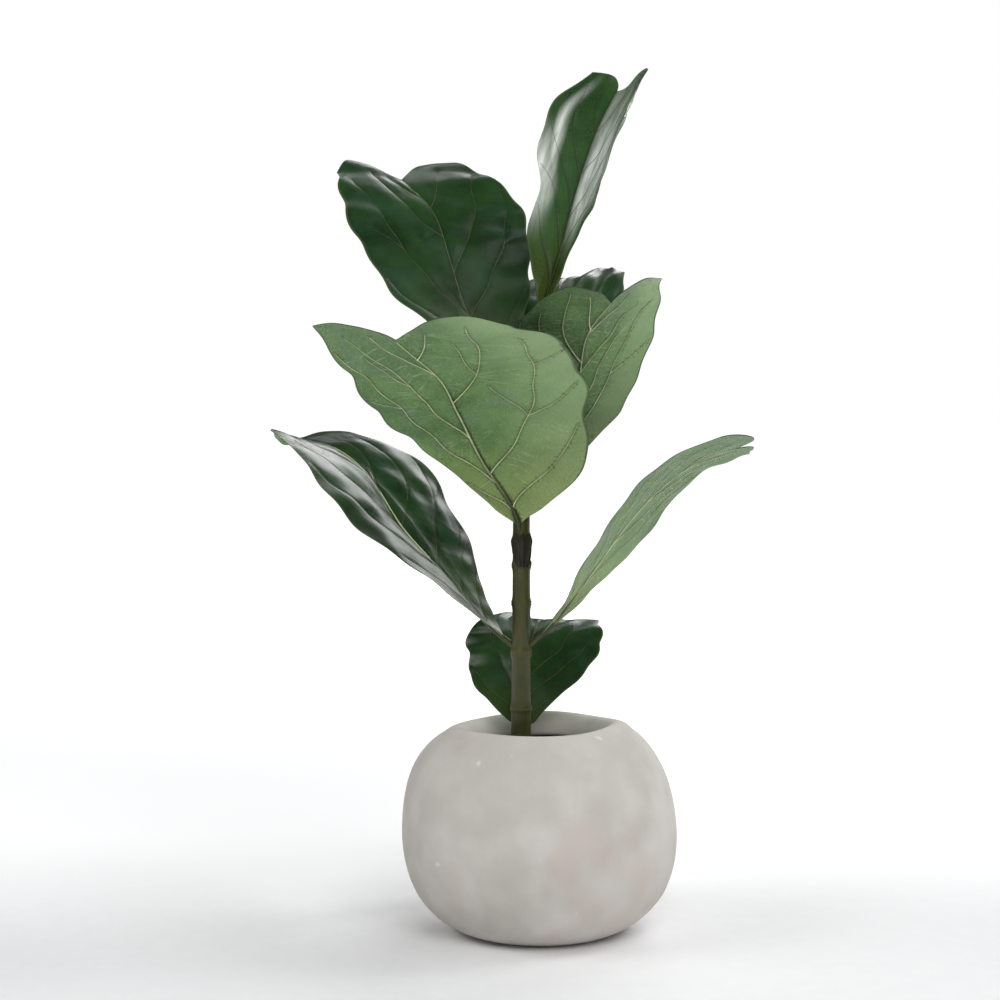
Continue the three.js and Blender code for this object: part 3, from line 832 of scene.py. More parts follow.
# %% [markdown]
# ## Leaves
# A fiddle leaf is narrow at the base, pinched at the waist and broad at the tip, where it ends in a
# notch between two lobes. It grows along its midrib, so the blade is laid out from a curve in space:
# each row of points stands square to the midrib and bends up at the two halves. The margin ripples.
# The same few numbers for each leaf as in the solid model place it, and the finer grid here adds
# what a thick leaf shows: cushions between the veins, and veins that stand out below.

# %% Leaf measurements
USUAL_LEAF = dict(faces=(0, 0, 1), curl=((0, 0, 0), (0, 0, 0)), bow=(0, 0))
LEAVES = {
    "leaf_a": dict(
        joint=432, stalk=22, stalk_rise=50, length=238, ripple=1.6, phase=(1.4, 0.5),
        width=((8, 44, 67, 70, 77, 77, 74), (8, 43, 64, 74, 80, 75, 57)),
        lobe=(0.12, 0.22), lobe_peak=(1.4, 1.1), bow=(0, 2, -1, 0, 16),
        heading=(142, 115, 105), rise=(42, 51, 26), roll=(-2, 3, 6),
        fold=((5, 4, 11), (-2, -4, 0)),
    ),
    "leaf_b": dict(
        joint=466, stalk=30, stalk_rise=52, length=189, ripple=2.7, phase=(2.3, 1.5),
        width=((5, 23, 35, 31, 45, 50, 31), (8, 10, 16, 37, 52, 51, 34)),
        lobe=(0.04, 0.15), lobe_peak=(0.6, 2), faces=(-0.2, -1, 0),
        heading=(13, 14, -5), rise=(68, 74, 59), roll=(-5, 2, -2),
        fold=((53, 28, 38), (44, 35, 45)), curl=((40, 36, 44), (40, 52, 45)),
    ),
    "leaf_c": dict(
        joint=312, stalk=16, stalk_rise=54, length=251, ripple=1.3, phase=(2.1, 1.5),
        width=((9, 59, 71, 87, 90, 101, 88), (13, 40, 62, 74, 78, 77, 83)),
        lobe=(0.08, 0.03), lobe_peak=(1.2, 1), bow=(0, -18, -16, -4, -4),
        heading=(-109, -114, -122), rise=(71, 28, 26), roll=(-4, -5, -2),
        fold=((3, 12, 5), (7, -2, 13)),
    ),
    "leaf_d": dict(
        joint=337, stalk=20, stalk_rise=50, length=213, ripple=1.2, phase=(4.6, 5.7),
        width=((12, 32, 52, 56, 57, 53, 46), (8, 12, 28, 56, 65, 59, 43)),
        lobe=(0.1, 0.18), lobe_peak=(0.7, 1.1), bow=(0, 0, 3, -3, 4),
        heading=(-56, -70, -82), rise=(46, 48, 14), roll=(-3, 1, -1),
        fold=((7, 11, 23), (34, 3, 6)),
    ),
    "leaf_e": dict(
        joint=222, stalk=18, stalk_rise=40, length=241, ripple=1.1, phase=(3.6, 3.2),
        width=((10, 25, 39, 61, 66, 64, 50), (9, 26, 51, 54, 65, 50, 52)),
        lobe=(0.08, 0.11), lobe_peak=(0.4, 0.5), bow=(0, 2, 12, -3, -17),
        heading=(172, 163, 157), rise=(39, 51, 0), roll=(9, 23, 14),
        fold=((30, 8, 30), (1, -1, 0)),
    ),
    "leaf_f": dict(
        joint=222, stalk=22, stalk_rise=40, length=221, ripple=1.1, phase=(5, 1.6),
        width=((6, 24, 55, 67, 61, 60, 64), (9, 25, 51, 58, 61, 70, 55)),
        lobe=(0.06, 0.08), lobe_peak=(0.4, 0.8),
        heading=(-13, -23, -16), rise=(45, 51, 12), roll=(3, 0, 8),
        fold=((-7, -2, 3), (-3, -3, 3)),
    ),
    "leaf_g": dict(
        joint=146, stalk=18, stalk_rise=50, length=130, ripple=2.1, phase=(2.5, 1),
        width=((8, 29, 47, 53, 60, 57, 39), (8, 22, 43, 56, 58, 51, 42)),
        lobe=(0.16, -0.1), lobe_peak=(0.65, 1.1),
        heading=(85, 76, 71), rise=(55, 51, -22), roll=(-5, 1, -2),
        fold=((11, -8, 6), (2, -2, 3)),
    ),
    "leaf_h": dict(
        joint=395, stalk=20, stalk_rise=50, length=190, ripple=2, phase=(2, 4.6),
        width=((5, 25, 40, 51, 62, 58, 41), (5, 25, 40, 51, 62, 58, 41)),
        lobe=(0.3, 0.24), lobe_peak=(0.38, 0.36),
        heading=(73, 75, 76), rise=(35, 50, 8), roll=(4, 6, 8),
        fold=((5, 5, 5), (5, 5, 5)),
    ),
}
LEAVES = {name: {**USUAL_LEAF, **own} for name, own in LEAVES.items()}
print("leaves", len(LEAVES))


# %% Growing the midrib
def quadratic(values, s):
    """A smooth run through three values: at the base, in the middle and at the tip."""
    base, middle, tip = values
    return base * (1 - s) * (1 - 2 * s) + 4 * middle * s * (1 - s) + tip * s * (2 * s - 1)


def direction(heading, rise):
    a, b = np.radians(heading), np.radians(rise)
    return np.stack([np.cos(a) * np.cos(b), np.sin(a) * np.cos(b), np.sin(b)], -1)


def unit(vectors):
    return vectors / np.linalg.norm(vectors, axis=-1, keepdims=True)


def grow_midrib(leaf, steps=40, reach=1.3):
    """Places from -1 at the stem to 0 at the blade's base and 1 at its notch, with their points."""
    share = np.arange(steps)[:, None] / steps
    stalk_start = direction(leaf["heading"][0], leaf["stalk_rise"])
    blade_start = direction(leaf["heading"][0], leaf["rise"][0])
    stalk = unit(stalk_start * (1 - share) + blade_start * share)
    s = np.linspace(0, reach, 3 * steps + 1)
    blade = direction(quadratic(leaf["heading"], s), quadratic(leaf["rise"], s))
    along = np.concatenate([stalk, blade])
    step = np.concatenate([
        np.full(steps, leaf["stalk"] / steps),
        np.full(3 * steps, leaf["length"] * reach / (3 * steps)),
    ])
    moves = (along[1:] + along[:-1]) / 2 * step[:, None]
    start = np.array([STEM_X, 0, leaf["joint"]], dtype=float)
    points = start + np.concatenate([np.zeros((1, 3)), np.cumsum(moves, axis=0)])
    places = np.concatenate([share[:, 0] - 1, s])
    return places, points, along


def frame_at(leaf, midrib, place):
    """A point of the midrib, with the ways that the upper side and the left margin face there."""
    places, points, along = midrib
    point = np.stack([np.interp(place, places, points[:, k]) for k in range(3)], -1)
    ahead = unit(np.stack([np.interp(place, places, along[:, k]) for k in range(3)], -1))
    faces = np.array(leaf["faces"], dtype=float)
    above = unit(faces - (ahead @ faces)[..., None] * ahead)
    left = np.cross(above, ahead)
    roll = np.radians(quadratic(leaf["roll"], np.maximum(place, 0)))[..., None]
    normal = above * np.cos(roll) + left * np.sin(roll)
    return point, normal, left * np.cos(roll) - above * np.sin(roll)


# %% Laying out the blade
RIPPLES, SCALLOP_DEPTH, CURL_REACH, RIPPLE_REACH = 5.5, 0.02, 60, 80


def smooth_through(knots, t):
    """Smooth curve through evenly spaced values or points, at a share of the way along them."""
    knots = np.asarray(knots, dtype=float)
    last = len(knots) - 1
    x = np.clip(t, 0, 1) * last
    k = np.minimum(np.floor(x).astype(int), last - 1)
    f = x - k
    if knots.ndim > 1:
        f = f[..., None]
    before, a, b, after = (knots[np.clip(k + j, 0, last)] for j in (-1, 0, 1, 2))
    bend = 2 * before - 5 * a + 4 * b - after + f * (3 * (a - b) + after - before)
    return a + 0.5 * f * (b - before + f * bend)


def halves(pair, v):
    """The left or the right value, by the half that each point lies on."""
    left, right = pair
    return np.where(v > 0, left, right)


def bent_reach(start, turn, length):
    """How far across and up an arc goes that starts at one angle and turns by another."""
    small = np.abs(turn) < 1e-3
    safe = np.where(small, 1.0, turn)
    across = np.where(small, np.cos(start), (np.sin(start + safe) - np.sin(start)) / safe)
    lift = np.where(small, np.sin(start), (np.cos(start) - np.cos(start + safe)) / safe)
    return across * length, lift * length


def blade_layout(leaf, u, v):
    """Place along the midrib and distance from it, with the flat coordinates of each point."""
    spread = np.abs(v)
    phase = halves(leaf["phase"], v)
    place = u + halves(leaf["lobe"], v) * u ** 6 * np.sin(np.pi * spread ** halves(leaf["lobe_peak"], v))
    scallop = np.sin(2 * np.pi * (RIPPLES * u + phase / 3)) * np.minimum(1, 4 * u)
    width = halves([smooth_through(values, u) for values in leaf["width"]], v)
    reach = width * (1 + SCALLOP_DEPTH * scallop) * spread
    bow = smooth_through(leaf["bow"], place) * (1 - spread)
    flat = np.stack([place * leaf["length"], np.sign(v) * reach + bow], -1)
    return place, reach, phase, bow, flat


def blade_point(leaf, midrib, u, v):
    u, v = np.clip(u, 0, 1), np.clip(v, -1, 1)
    place, reach, phase, bow, _ = blade_layout(leaf, u, v)
    point, normal, left = frame_at(leaf, midrib, place)
    fold = [quadratic(values, place) for values in leaf["fold"]]
    curl = [quadratic(values, place) for values in leaf["curl"]]
    turn = np.radians(halves(curl, v)) * reach / CURL_REACH
    across, lift = bent_reach(np.radians(halves(fold, v)), turn, reach)
    turns = 2 * np.pi * RIPPLES * place
    wave = np.sin(turns + phase) + 0.9 * np.sin(0.43 * turns + 2 * phase)
    lift = lift + leaf["ripple"] * (reach / RIPPLE_REACH) ** 2 * wave
    return point + (np.sign(v) * across + bow)[..., None] * left + lift[..., None] * normal


def blade_normal(leaf, midrib, u, v, step=0.006):
    ahead = blade_point(leaf, midrib, u + step, v) - blade_point(leaf, midrib, u - step, v)
    across = blade_point(leaf, midrib, u, v + step) - blade_point(leaf, midrib, u, v - step)
    return unit(np.cross(ahead, across))


print("blade layout ready")

# %% [markdown]
# ## Veins
# Each vein is a short curve on the blade: where it leaves the midrib or its parent, where it bends,
# and where it ends. Main veins leave the midrib at a wide angle and turn towards the tip before
# they reach the margin. Small feather veins leave them nearly square. The points are in percent:
# the way from the blade's base to its tip, and the way from the midrib to the margin.

# %% Vein curves
USUAL_HALF = [
    [(5, 0), (13, 42), (22, 70), (36, 94)], [(20, 0), (32, 30), (46, 52), (65, 72), (82, 92)],
    [(46, 52), (50, 74), (57, 94)], [(42, 0), (53, 28), (68, 50), (85, 76)],
    [(62, 0), (72, 25), (83, 44), (94, 60)], [(80, 0), (88, 18), (95, 34)],
]
VEINS = {
    "leaf_a": (
        [
            [(5, 0), (15, 45), (25, 72), (40, 93)], [(26, 0), (37, 30), (55, 52), (72, 61), (88, 77)],
            [(55, 52), (61, 68), (68, 90)], [(62, 0), (71, 21), (86, 33), (95, 45)],
            [(84, 0), (91, 12), (96, 22)],
        ],
        [
            [(6, 0), (16, 45), (26, 75), (40, 93)],
            [(24, 0), (36, 34), (47, 53), (59, 69), (74, 80), (88, 93)], [(59, 69), (62, 82), (64, 95)],
            [(45, 0), (63, 32), (75, 49), (83, 60), (92, 76)], [(78, 0), (85, 24), (93, 45)],
        ],
    ),
    "leaf_b": (
        [
            [(12, 0), (19, 20), (26, 42), (34, 64), (44, 92)], [(28, 0), (42, 30), (53, 62), (60, 94)],
            [(46, 0), (58, 28), (68, 60), (76, 90)], [(60, 0), (70, 23), (77, 39), (88, 56), (94, 74)],
            [(80, 0), (88, 20), (95, 40)],
        ],
        USUAL_HALF,
    ),
    "leaf_c": (
        [
            [(5, 0), (13, 40), (19, 66), (33, 94)],
            [(19, 0), (29, 33), (41, 52), (55, 63), (66, 71), (85, 76)], [(41, 52), (44, 70), (51, 93)],
            [(41, 52), (53, 38), (61, 31)], [(66, 71), (67, 84), (69, 96)],
            [(57, 0), (70, 28), (84, 45), (96, 64)], [(70, 28), (80, 27), (90, 36)],
            [(88, 0), (93, 17), (97, 28)],
        ],
        [
            [(4, 0), (7, 23), (10, 55), (15, 90)],
            [(15, 0), (24, 35), (33, 56), (57, 67), (72, 80), (88, 95)], [(57, 67), (60, 80), (64, 94)],
            [(36, 0), (51, 27), (70, 37), (84, 52), (95, 70)], [(70, 37), (76, 52), (86, 62)],
            [(77, 0), (90, 18), (97, 34)],
        ],
    ),
    "leaf_d": (
        [
            [(4, 0), (12, 50), (24, 88)], [(12, 0), (22, 27), (33, 39), (54, 51), (68, 58), (86, 80)],
            [(54, 51), (60, 76), (67, 93)], [(33, 0), (45, 20), (60, 30), (72, 45)],
            [(57, 0), (65, 17), (73, 36), (86, 52)], [(78, 0), (86, 16), (94, 30)],
        ],
        USUAL_HALF,
    ),
    "leaf_e": (
        [
            [(10, 0), (24, 40), (40, 82)], [(30, 0), (45, 35), (60, 60), (73, 80), (82, 93)],
            [(50, 0), (65, 30), (82, 55), (92, 76)], [(72, 0), (84, 24), (94, 44)],
        ],
        [
            [(6, 0), (14, 50), (24, 90)], [(19, 0), (31, 58), (41, 94)],
            [(33, 0), (38, 25), (44, 45), (53, 76), (62, 84), (70, 95)], [(53, 76), (54, 86), (57, 95)],
            [(50, 0), (56, 28), (64, 48), (77, 64), (87, 82)], [(67, 0), (77, 25), (87, 42), (95, 58)],
        ],
    ),
    "leaf_f": (USUAL_HALF, USUAL_HALF),
    "leaf_g": (
        [
            [(6, 0), (15, 42), (25, 73), (44, 93)], [(18, 0), (30, 25), (50, 49), (73, 70), (88, 90)],
            [(48, 0), (64, 28), (82, 50), (93, 66)], [(75, 0), (87, 20), (95, 36)],
        ],
        [
            [(4, 0), (12, 50), (22, 88)], [(14, 0), (25, 24), (39, 56), (64, 86)],
            [(30, 0), (38, 14), (54, 43), (70, 52), (86, 72)], [(60, 0), (74, 25), (92, 48)],
        ],
    ),
    "leaf_h": (USUAL_HALF, USUAL_HALF),
}


def polyline(controls, side, step=0.02):
    """A smooth vein through its points, as places u and v on the blade."""
    controls = np.array(controls) / 100
    length = np.linalg.norm(np.diff(controls, axis=0), axis=1).sum()
    curve = smooth_through(controls, np.linspace(0, 1, max(8, int(length / step))))
    return np.clip(curve[:, 0], 0, 0.985), side * np.clip(curve[:, 1], 0, 0.97)


MAIN_VEIN, BRANCH_VEIN = (0.64, 0.26), (0.38, 0.22)


def vein_radii(controls, count):
    """A side vein thins from the midrib to the margin, and a branch starts thinner."""
    start, end = MAIN_VEIN if controls[0][1] == 0 else BRANCH_VEIN
    return start + (end - start) * np.linspace(0, 1, count) ** 0.7


FIRST_RUNG, RUNG_STEP, SHORTEST_RUNG, LONGEST_RUNG = 9.0, 8.5, 5, 48


def cross_veins(lines, seed):
    """Small curved steps, like a ladder's rungs, between neighbouring veins of one half."""
    chooser = np.random.default_rng(seed)
    rungs = []
    for near, far in zip(lines[:-1], lines[1:]):
        travelled = way_along(near)
        for distance in np.arange(FIRST_RUNG, travelled[-1] - 4, RUNG_STEP):
            distance += chooser.uniform(-2, 2)
            start = np.array([np.interp(distance, travelled, near[:, k]) for k in (0, 1)])
            gap = np.linalg.norm(far - start, axis=1)
            end = far[min(gap.argmin() + chooser.integers(-1, 2), len(far) - 1)]
            span = np.linalg.norm(end - start)
            if SHORTEST_RUNG < span < LONGEST_RUNG:
                bend = np.array([end[1] - start[1], start[0] - end[0]]) / span
                middle = (start + end) / 2 + bend * span * chooser.uniform(-0.12, 0.12)
                rungs.append(smooth_through([start, middle, end], np.linspace(0, 1, 9)))
    return rungs


def nearest(points, lines):
    """Signed distance to the nearest line, with its radius and the way travelled along it there."""
    best = np.full(len(points), 1e9)
    found = np.zeros((len(points), 3))
    everyone = np.arange(len(points))
    for line, radii in lines:
        run = np.diff(line, axis=0)
        length = np.maximum(np.linalg.norm(run, axis=1), 1e-6)
        travelled = np.concatenate([[0], np.cumsum(length)])
        offset = points[:, None] - line[:-1]
        t = np.clip((offset * run).sum(-1) / length ** 2, 0, 1)
        size = np.linalg.norm(offset - t[..., None] * run, axis=-1)
        k = size.argmin(1)
        t, size, offset = t[everyone, k], size[everyone, k], offset[everyone, k]
        side = np.where(run[k, 0] * offset[:, 1] > run[k, 1] * offset[:, 0], 1, -1)
        radius = radii[k] + t * (radii[k + 1] - radii[k])
        here = np.stack([side * size, radius, travelled[k] + t * length[k]], -1)
        closer = size < best
        best[closer], found[closer] = size[closer], here[closer]
    return np.minimum(best, FAR_OFF), found


CRUMPLE_DEPTH, CRUMPLE_EASE, CRUMPLE_SIZES = 0.55, 18, (46.0, 27.0)


def crumple(flat, seed):
    """Slow unevenness of a grown blade, none on the midrib."""
    x, y = flat[..., 0], flat[..., 1]
    away = np.clip(np.abs(y) / CRUMPLE_EASE, 0, 1)
    return away * CRUMPLE_DEPTH * lumps(x, y, seed, CRUMPLE_SIZES)


print("veins", sum(len(half) for pair in VEINS.values() for half in pair))


# %% [markdown]
# ## Leaf finishes
# The upper side has a waxy skin over dark green, the lower side a dull grey-green felted look with
# raised pale veins. Painted shade lies beside the veins on every side, where they meet the blade; on
# the lower side painted light pales one half and painted shade darkens the rest towards the tip. The
# young leaf on top carries painted sheen in pale bands. All sides share the same net of small veins,
# so they use the same groups with their own colours.


# %% Leaf materials
OLIVE, PAINTED_LIGHT_TONE, PAINTED_SHADE_TONE, PAINTED_SHEEN = (60, 62, 34), (164, 190, 140), (58, 96, 48), (238, 242, 236)


def leaf_plane(tree):
    return make(tree, "UVMap", {"uv_map": "leaf_plane"})[0]


def stored(tree, key):
    return make(tree, "Attribute", {"attribute_name": key})["Vector"]


def painted_sheen_bands(plane, where):
    """Painted sheen in silvery bands along a young leaf: one with a streak on its left half, a broad one on
    its right.
    """
    strands = remap(noise(stretched(plane, (1.2, 9.0, 1.0)), 2.2, 3.0), 0.35, 0.62, 0.55, 1.0)
    left = remap(where["Z"], -0.2, 0.2)

    def hill(value, foot, top, end):
        return remap(value, foot, top) * remap(value, top, end, 1.0, 0.0)

    def band(across, along):
        return hill(where["Y"], *across) * hill(where["X"], *along)

    margin = band((0.45, 0.9, 1.4), (0.25, 0.6, 0.8))
    streak = band((0.48, 0.66, 0.84), (0.45, 0.74, 1.05))
    broad = band((-0.15, 0.2, 1.05), (0.2, 0.58, 1.25))
    rim = band((0.8, 0.95, 1.3), (0.4, 0.8, 1.3))
    on_left = left * calc("MAXIMUM", margin, streak)
    on_right = (1.0 - left) * calc("MAXIMUM", broad, rim)
    return (on_left + on_right) * strands


def leaf_face(name, light, dark, cool, edge, base, net, border, ticks, rough, relief, painted_sheen=False, pale=0.0):
    """One side of a blade. base, net, border and ticks each hold a colour and its share.

    base tints the part by the stalk, net the smallest veins, border is the painted shade beside larger
    veins, and ticks mark them.
    pale is how much painted light lightens the left half; painted shade darkens the rest towards the tip.
    """
    material, tree, shader = new_material(name)
    plane = leaf_plane(tree)
    where = make(tree, "SeparateXYZ", Vector=stored(tree, "blade_map"))
    small = place_group(leaf_net, Plane=plane)
    veins = place_group(
        beside_veins, Vein_Map=stored(tree, "vein_map"), Cross_Map=stored(tree, "cross_map"), Plane=plane,
    )
    body, cloud = clouded(plane, 1.7, light, dark)
    body = tint(remap(noise(plane, 2.6, 3.0), 0.5, 0.66) * 0.7, body, cool)
    # Painted light pales the left half towards the margin, and painted shade darkens the rest towards the
    # tip.
    if pale:
        painted_light_half = remap(where["Z"], -0.5, 0.5) * remap(where["Y"], 0.1, 0.9)
        shaded = (1.0 - painted_light_half) * remap(where["X"], 0.2, 0.8)
        body = layered(body, (painted_light_half * pale, PAINTED_LIGHT_TONE), (shaded * 0.45, PAINTED_SHADE_TONE))
    lines = calc("MAXIMUM", small["Net"] * 0.55 + small["Fine Net"] * 0.2, veins["Cross Vein"])
    # border's colour is painted shade beside the veins, stronger by thick ones.
    painted_shade_share = remap(veins["Thick"], 0.0, 1.0, 0.4 * border[1], border[1])
    body = layered(
        body,
        (remap(where["X"], 0.45, 0.0) * base[1], base[0]),
        (small["Cell"] * 0.12, light),
        (lines * net[1], net[0]),
        (veins["Ticks"] * ticks[1], ticks[0]),
        (veins["Border"] * painted_shade_share, border[0]),
        (remap(where["Y"], 0.97, 0.99) * 0.8, edge),
    )
    # Painted sheen: pale silvery bands laid into the young leaf's colour.
    if painted_sheen:
        body = tint(painted_sheen_bands(plane, where), body, PAINTED_SHEEN)
    fine = place_group(grain, Vector=plane, Scale=150.0, Pits=0.3)
    height = small["Height"] + fine["Height"] * 0.25 + veins["Cross Vein"] * 0.8
    dress(shader, body, cloud * 0.06 + lines * 0.10 + rough, height, relief)
    return material


def vein_skin(name, pale, brown, rough):
    material, tree, shader = new_material(name)
    plane = leaf_plane(tree)
    body, cloud = clouded(plane, 7.0, pale, brown)
    fine = place_group(grain, Vector=plane, Scale=120.0, Pits=0.2)
    along = make(tree, "SeparateXYZ", Vector=stored(tree, "blade_map"))["X"]
    body = tint(remap(along, 0.02, 0.4, 1.0, 0.0), body, OLIVE)
    dress(shader, body, remap(cloud, 0.0, 1.0, rough, rough - 0.1), fine["Height"], 0.0003, 0.5)
    return material


# On every side, border is the colour of the painted shade beside the veins.
upper_skin = leaf_face(
    "waxy upper side", light=(30, 64, 23), dark=(12, 38, 13), cool=(30, 62, 40), edge=(70, 84, 48),
    base=((58, 66, 28), 0.45), net=((66, 84, 42), 0.22), border=((20, 34, 14), 0.6),
    ticks=((12, 28, 12), 0.14), rough=0.28, relief=0.00003,
)
# pale gives the lower side painted light on its left half and painted shade on the rest.
under_skin = leaf_face(
    "felted under side", light=(118, 156, 92), dark=(72, 114, 58), cool=(104, 134, 106), edge=(66, 82, 48),
    base=((146, 160, 84), 0.65), net=((164, 186, 138), 0.75), border=((46, 58, 30), 0.95),
    ticks=((56, 76, 42), 0.85), rough=0.5, relief=0.0003, pale=0.6,
)
# The young side carries painted sheen in silvery bands.
young_skin = leaf_face(
    "young upper side", light=(52, 88, 40), dark=(32, 66, 28), cool=(46, 80, 44), edge=(84, 100, 56),
    base=((88, 92, 34), 0.6), net=((90, 112, 62), 0.12), border=((24, 42, 18), 0.6),
    ticks=((22, 42, 18), 0.4), rough=0.26, relief=0.00003, painted_sheen=True,
)
margin_skin = vein_skin("leaf margin", (62, 76, 42), (36, 44, 24), 0.5)
under_vein = vein_skin("raised veins", (204, 216, 170), (170, 182, 130), 0.5)
upper_vein = vein_skin("sunken veins", (96, 102, 66), (64, 70, 42), 0.4)
print("materials", len(bpy.data.materials))

# %% [markdown]
# ## Putting a leaf together
# The blade is a closed sheet 0.7 mm thick. The stalk runs on under it as the midrib, and each vein
# is a thin closed tube half sunk in the lower face, with a finer line of its own on the upper face.

# %% One leaf
HALF_THICKNESS = 0.36
CUSHION_REACH, RUNG_CUSHION, RUNG_REACH, GROOVE_DEPTH, GROOVE_REACH = 6, 0.07, 2.2, 0.3, 1.4
CUSHIONS = {"leaf_a": 0.5, "leaf_c": 0.9, "leaf_d": 0.6, "leaf_f": 0.2, "leaf_g": 0.5}
USUAL_CUSHION = 0.25
FINER_VEINS = {"leaf_f": 0.55}
# leaf_f's lower side takes painted shade all over and no painted light.
SHADED_BELOW = ("leaf_f",)
UPPER_VEIN_SHARE, VEIN_SIDES = 0.48, 6
RIB_RADIUS, RIB_FLARE, RIB_FLARE_REACH, RIB_TAPER = 1.05, 1.3, 0.06, 0.7
STALK_FLARE, STALK_FLARE_REACH, STALK_SIDES = 1.1, 0.25, 14
STALK_MAP = (0.905, 0.01, 0.94, 0.99)
VEIN_MAP_ROWS, VEIN_MAP_STEP, VEIN_MAP_WIDTH, VEIN_MAP_HEIGHT = (0.01, 0.26, 0.51, 0.76), 0.0012, 0.001, 0.23
RIDGES = {
    "leaf_b": (((0.45, 24, -30, -0.14),), ((0.5, 20, 8, -0.05),)),
    "leaf_h": (((1.3, 24, 9, 0.1),), ((1.3, 24, 5, 0.1),)),
    "leaf_e": (
        ((0.7, 60, -11, -0.05), (0.15, 28, -19, -0.1)),
        ((1.5, 67, 22, 0.04), (0.35, 27, 0, 0.1)),
    ),
}
GRIDS = {
    "leaf_a": (180, 121), "leaf_b": (170, 101), "leaf_c": (230, 161), "leaf_d": (160, 105),
    "leaf_e": (190, 125), "leaf_f": (130, 81), "leaf_g": (110, 81), "leaf_h": (100, 71),
}


def waves(name, flat):
    """Long ridges that run nearly with the midrib on both halves of a leaf, none on the midrib.

    RIDGES lists them for each half by height, spacing, start and slant.
    """
    x, y = flat[..., 0], flat[..., 1]
    away = np.abs(y)
    total = np.zeros_like(x)
    for half, ridges in zip((y > 0, y <= 0), RIDGES.get(name, ((), ()))):
        for height, spacing, start, slant in ridges:
            total += half * height * np.cos(2 * np.pi * (away - start - slant * x) / spacing)
    return total * np.minimum(1, away / 10)


def falloff(distance, reach):
    return np.exp(-(distance / reach) ** 2)


def flat_map(flat, seed):
    """Flat coordinates as the finishes read them, at a place of its own for each leaf."""
    return flat * 0.01 + np.array([3.0 * seed, 0])


def vein_tube(piece, name, leaf, midrib, seed, places, radii, side, finish, place):
    """A vein along places (u, v) on the lower face (side -1) or the upper face (side 1)."""
    flat = blade_layout(leaf, *places)[-1]
    normal = blade_normal(leaf, midrib, *places)
    radii = np.append(radii[:-1], radii[-1] * 0.4)
    stand, oval = (0.6, 0.9) if side < 0 else (-0.8, 0.8)
    lift = crumple(flat, seed) + waves(name, flat) + side * (HALF_THICKNESS + radii * stand)
    centre = blade_point(leaf, midrib, *places) + normal * lift[:, None]
    sideways = unit(np.cross(unit(np.gradient(centre, axis=0)), normal))
    maps = {"leaf_plane": flat_map(flat, seed)}
    tube_patch(piece, centre * MM, sideways, normal, radii * MM, finish, place, VEIN_SIDES, oval, maps)


def stalk_and_midrib(piece, leaf, midrib, seed):
    """One tube that starts in the stem and runs on under the blade to its notch."""
    places = np.concatenate([np.linspace(-1, 0, 24)[:-1], np.linspace(0, 0.99, 60)])
    point, above, left = frame_at(leaf, midrib, places)
    rise = np.clip(places, 0, 1)
    rib = (RIB_RADIUS + RIB_FLARE * np.exp(-rise / RIB_FLARE_REACH)) * (1 - RIB_TAPER * rise)
    radius = rib + STALK_FLARE * falloff(places + 1, STALK_FLARE_REACH)
    drop = np.clip(places / 0.12, 0, 1) * (radius - 0.1)
    bow = smooth_through(leaf["bow"], rise) * (places > 0)
    centre = point - above * drop[:, None] + left * bow[:, None]
    maps = {
        "leaf_plane": np.stack([places * leaf["length"] * 0.01 + 3.0 * seed, 0 * places], -1),
        "blade_map": np.stack([places, 0 * places, 0 * places], -1),
    }
    tube_patch(piece, centre * MM, left, above, radius * MM, 3, STALK_MAP, STALK_SIDES, 1.0, maps)


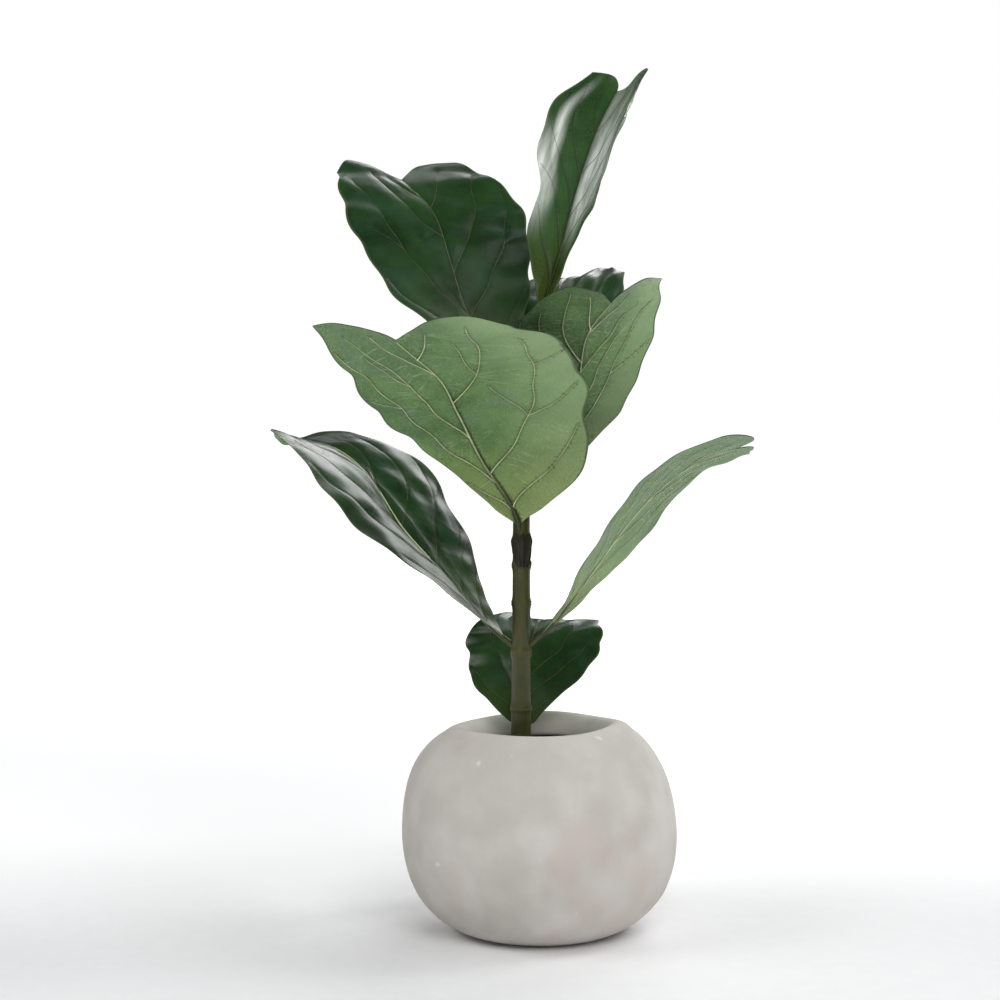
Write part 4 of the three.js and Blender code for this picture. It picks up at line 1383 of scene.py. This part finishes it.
def build_leaf(name, leaf, seed, skins):
    midrib = grow_midrib(leaf)
    shape = rows, columns = GRIDS[name]
    u = np.linspace(0, 1, rows)[:, None] + np.zeros(columns)
    even = np.linspace(-1, 1, columns)[None, :] + np.zeros((rows, 1))
    v = even * (0.25 + 0.75 * np.sin(np.pi / 2 * np.minimum(1, u / 0.05)))
    along, _, _, _, flat = blade_layout(leaf, u, v)
    middle = blade_point(leaf, midrib, u, v)
    normal = blade_normal(leaf, midrib, u, v)
    flat = flat.reshape(-1, 2)

    rib_share = np.linspace(0, 0.985, 60)
    rib_places = (rib_share, np.zeros(60))
    rib_radii = (1.1 + np.exp(-rib_share / RIB_FLARE_REACH)) * (1 - RIB_TAPER * rib_share)
    lines = [(blade_layout(leaf, *rib_places)[-1], rib_radii)]
    side_veins, rungs = [], []
    for side, half in zip((1, -1), VEINS[name]):
        mains = []
        for controls in half:
            places = polyline(controls, side)
            line, radii = blade_layout(leaf, *places)[-1], vein_radii(controls, len(places[0]))
            side_veins.append((places, radii))
            lines.append((line, radii))
            if controls[0][1] == 0:
                mains.append(line)
        rungs += cross_veins(mains, seed)
    distance, vein = nearest(flat, lines)
    rung_distance, rung = nearest(flat, [(line, np.zeros(len(line))) for line in rungs])

    spread = np.abs(even).ravel()
    # For the leaves in SHADED_BELOW the half is -1 everywhere, which gives painted shade and no painted
    # light.
    half = -1 + 0 * spread if name in SHADED_BELOW else np.sign(v).ravel()
    cushion = CUSHIONS.get(name, USUAL_CUSHION) * (1 - falloff(distance, CUSHION_REACH))
    cushion += RUNG_CUSHION * (1 - falloff(rung_distance, RUNG_REACH))
    lift = cushion * (1 - spread ** 12) + crumple(flat, seed) + waves(name, flat)
    grooved = lift - GROOVE_DEPTH * falloff(distance, GROOVE_REACH)
    thickness = HALF_THICKNESS * (1 - 0.5 * np.abs(even) ** 30)
    upper = (middle + normal * (grooved.reshape(shape) + thickness)[..., None]) * MM
    lower = (middle + normal * (lift.reshape(shape) - thickness)[..., None]) * MM
    maps = {
        "leaf_plane": flat_map(flat, seed),
        "vein_map": np.stack([vein[:, 0], distance, vein[:, 1]], -1),
        "cross_map": np.stack([rung[:, 0], rung_distance, vein[:, 2]], -1),
        "blade_map": np.stack([along.ravel(), spread, half], -1),
    }
    piece = Piece()
    sheet_patch(piece, upper, lower, (0, 1, 2), maps)
    stalk_and_midrib(piece, leaf, midrib, seed)
    corners = [(x, y) for y in VEIN_MAP_ROWS for x in np.arange(0.945, 0.99, VEIN_MAP_STEP)]
    spots = [(x, y, x + VEIN_MAP_WIDTH, y + VEIN_MAP_HEIGHT) for x, y in corners]
    upper_rib = np.linspace(0.6, 0.35, 60)
    vein_tube(piece, name, leaf, midrib, seed, rib_places, upper_rib, 1, 4, spots.pop())
    for places, radii in side_veins:
        radii = radii * FINER_VEINS.get(name, 1.0)
        vein_tube(piece, name, leaf, midrib, seed, places, radii, -1, 3, spots.pop())
        vein_tube(piece, name, leaf, midrib, seed, places, radii * UPPER_VEIN_SHARE, 1, 4, spots.pop())
    piece.build(name + "_grown", name, skins)


# %% All leaves
for number, (name, leaf) in enumerate(LEAVES.items()):
    slot, top_skin = ("young_leaf", young_skin) if name == "leaf_b" else ("leaf", upper_skin)
    skins = [top_skin, under_skin, margin_skin, under_vein, upper_vein]
    build_leaf(name, leaf, number + 1, skins)
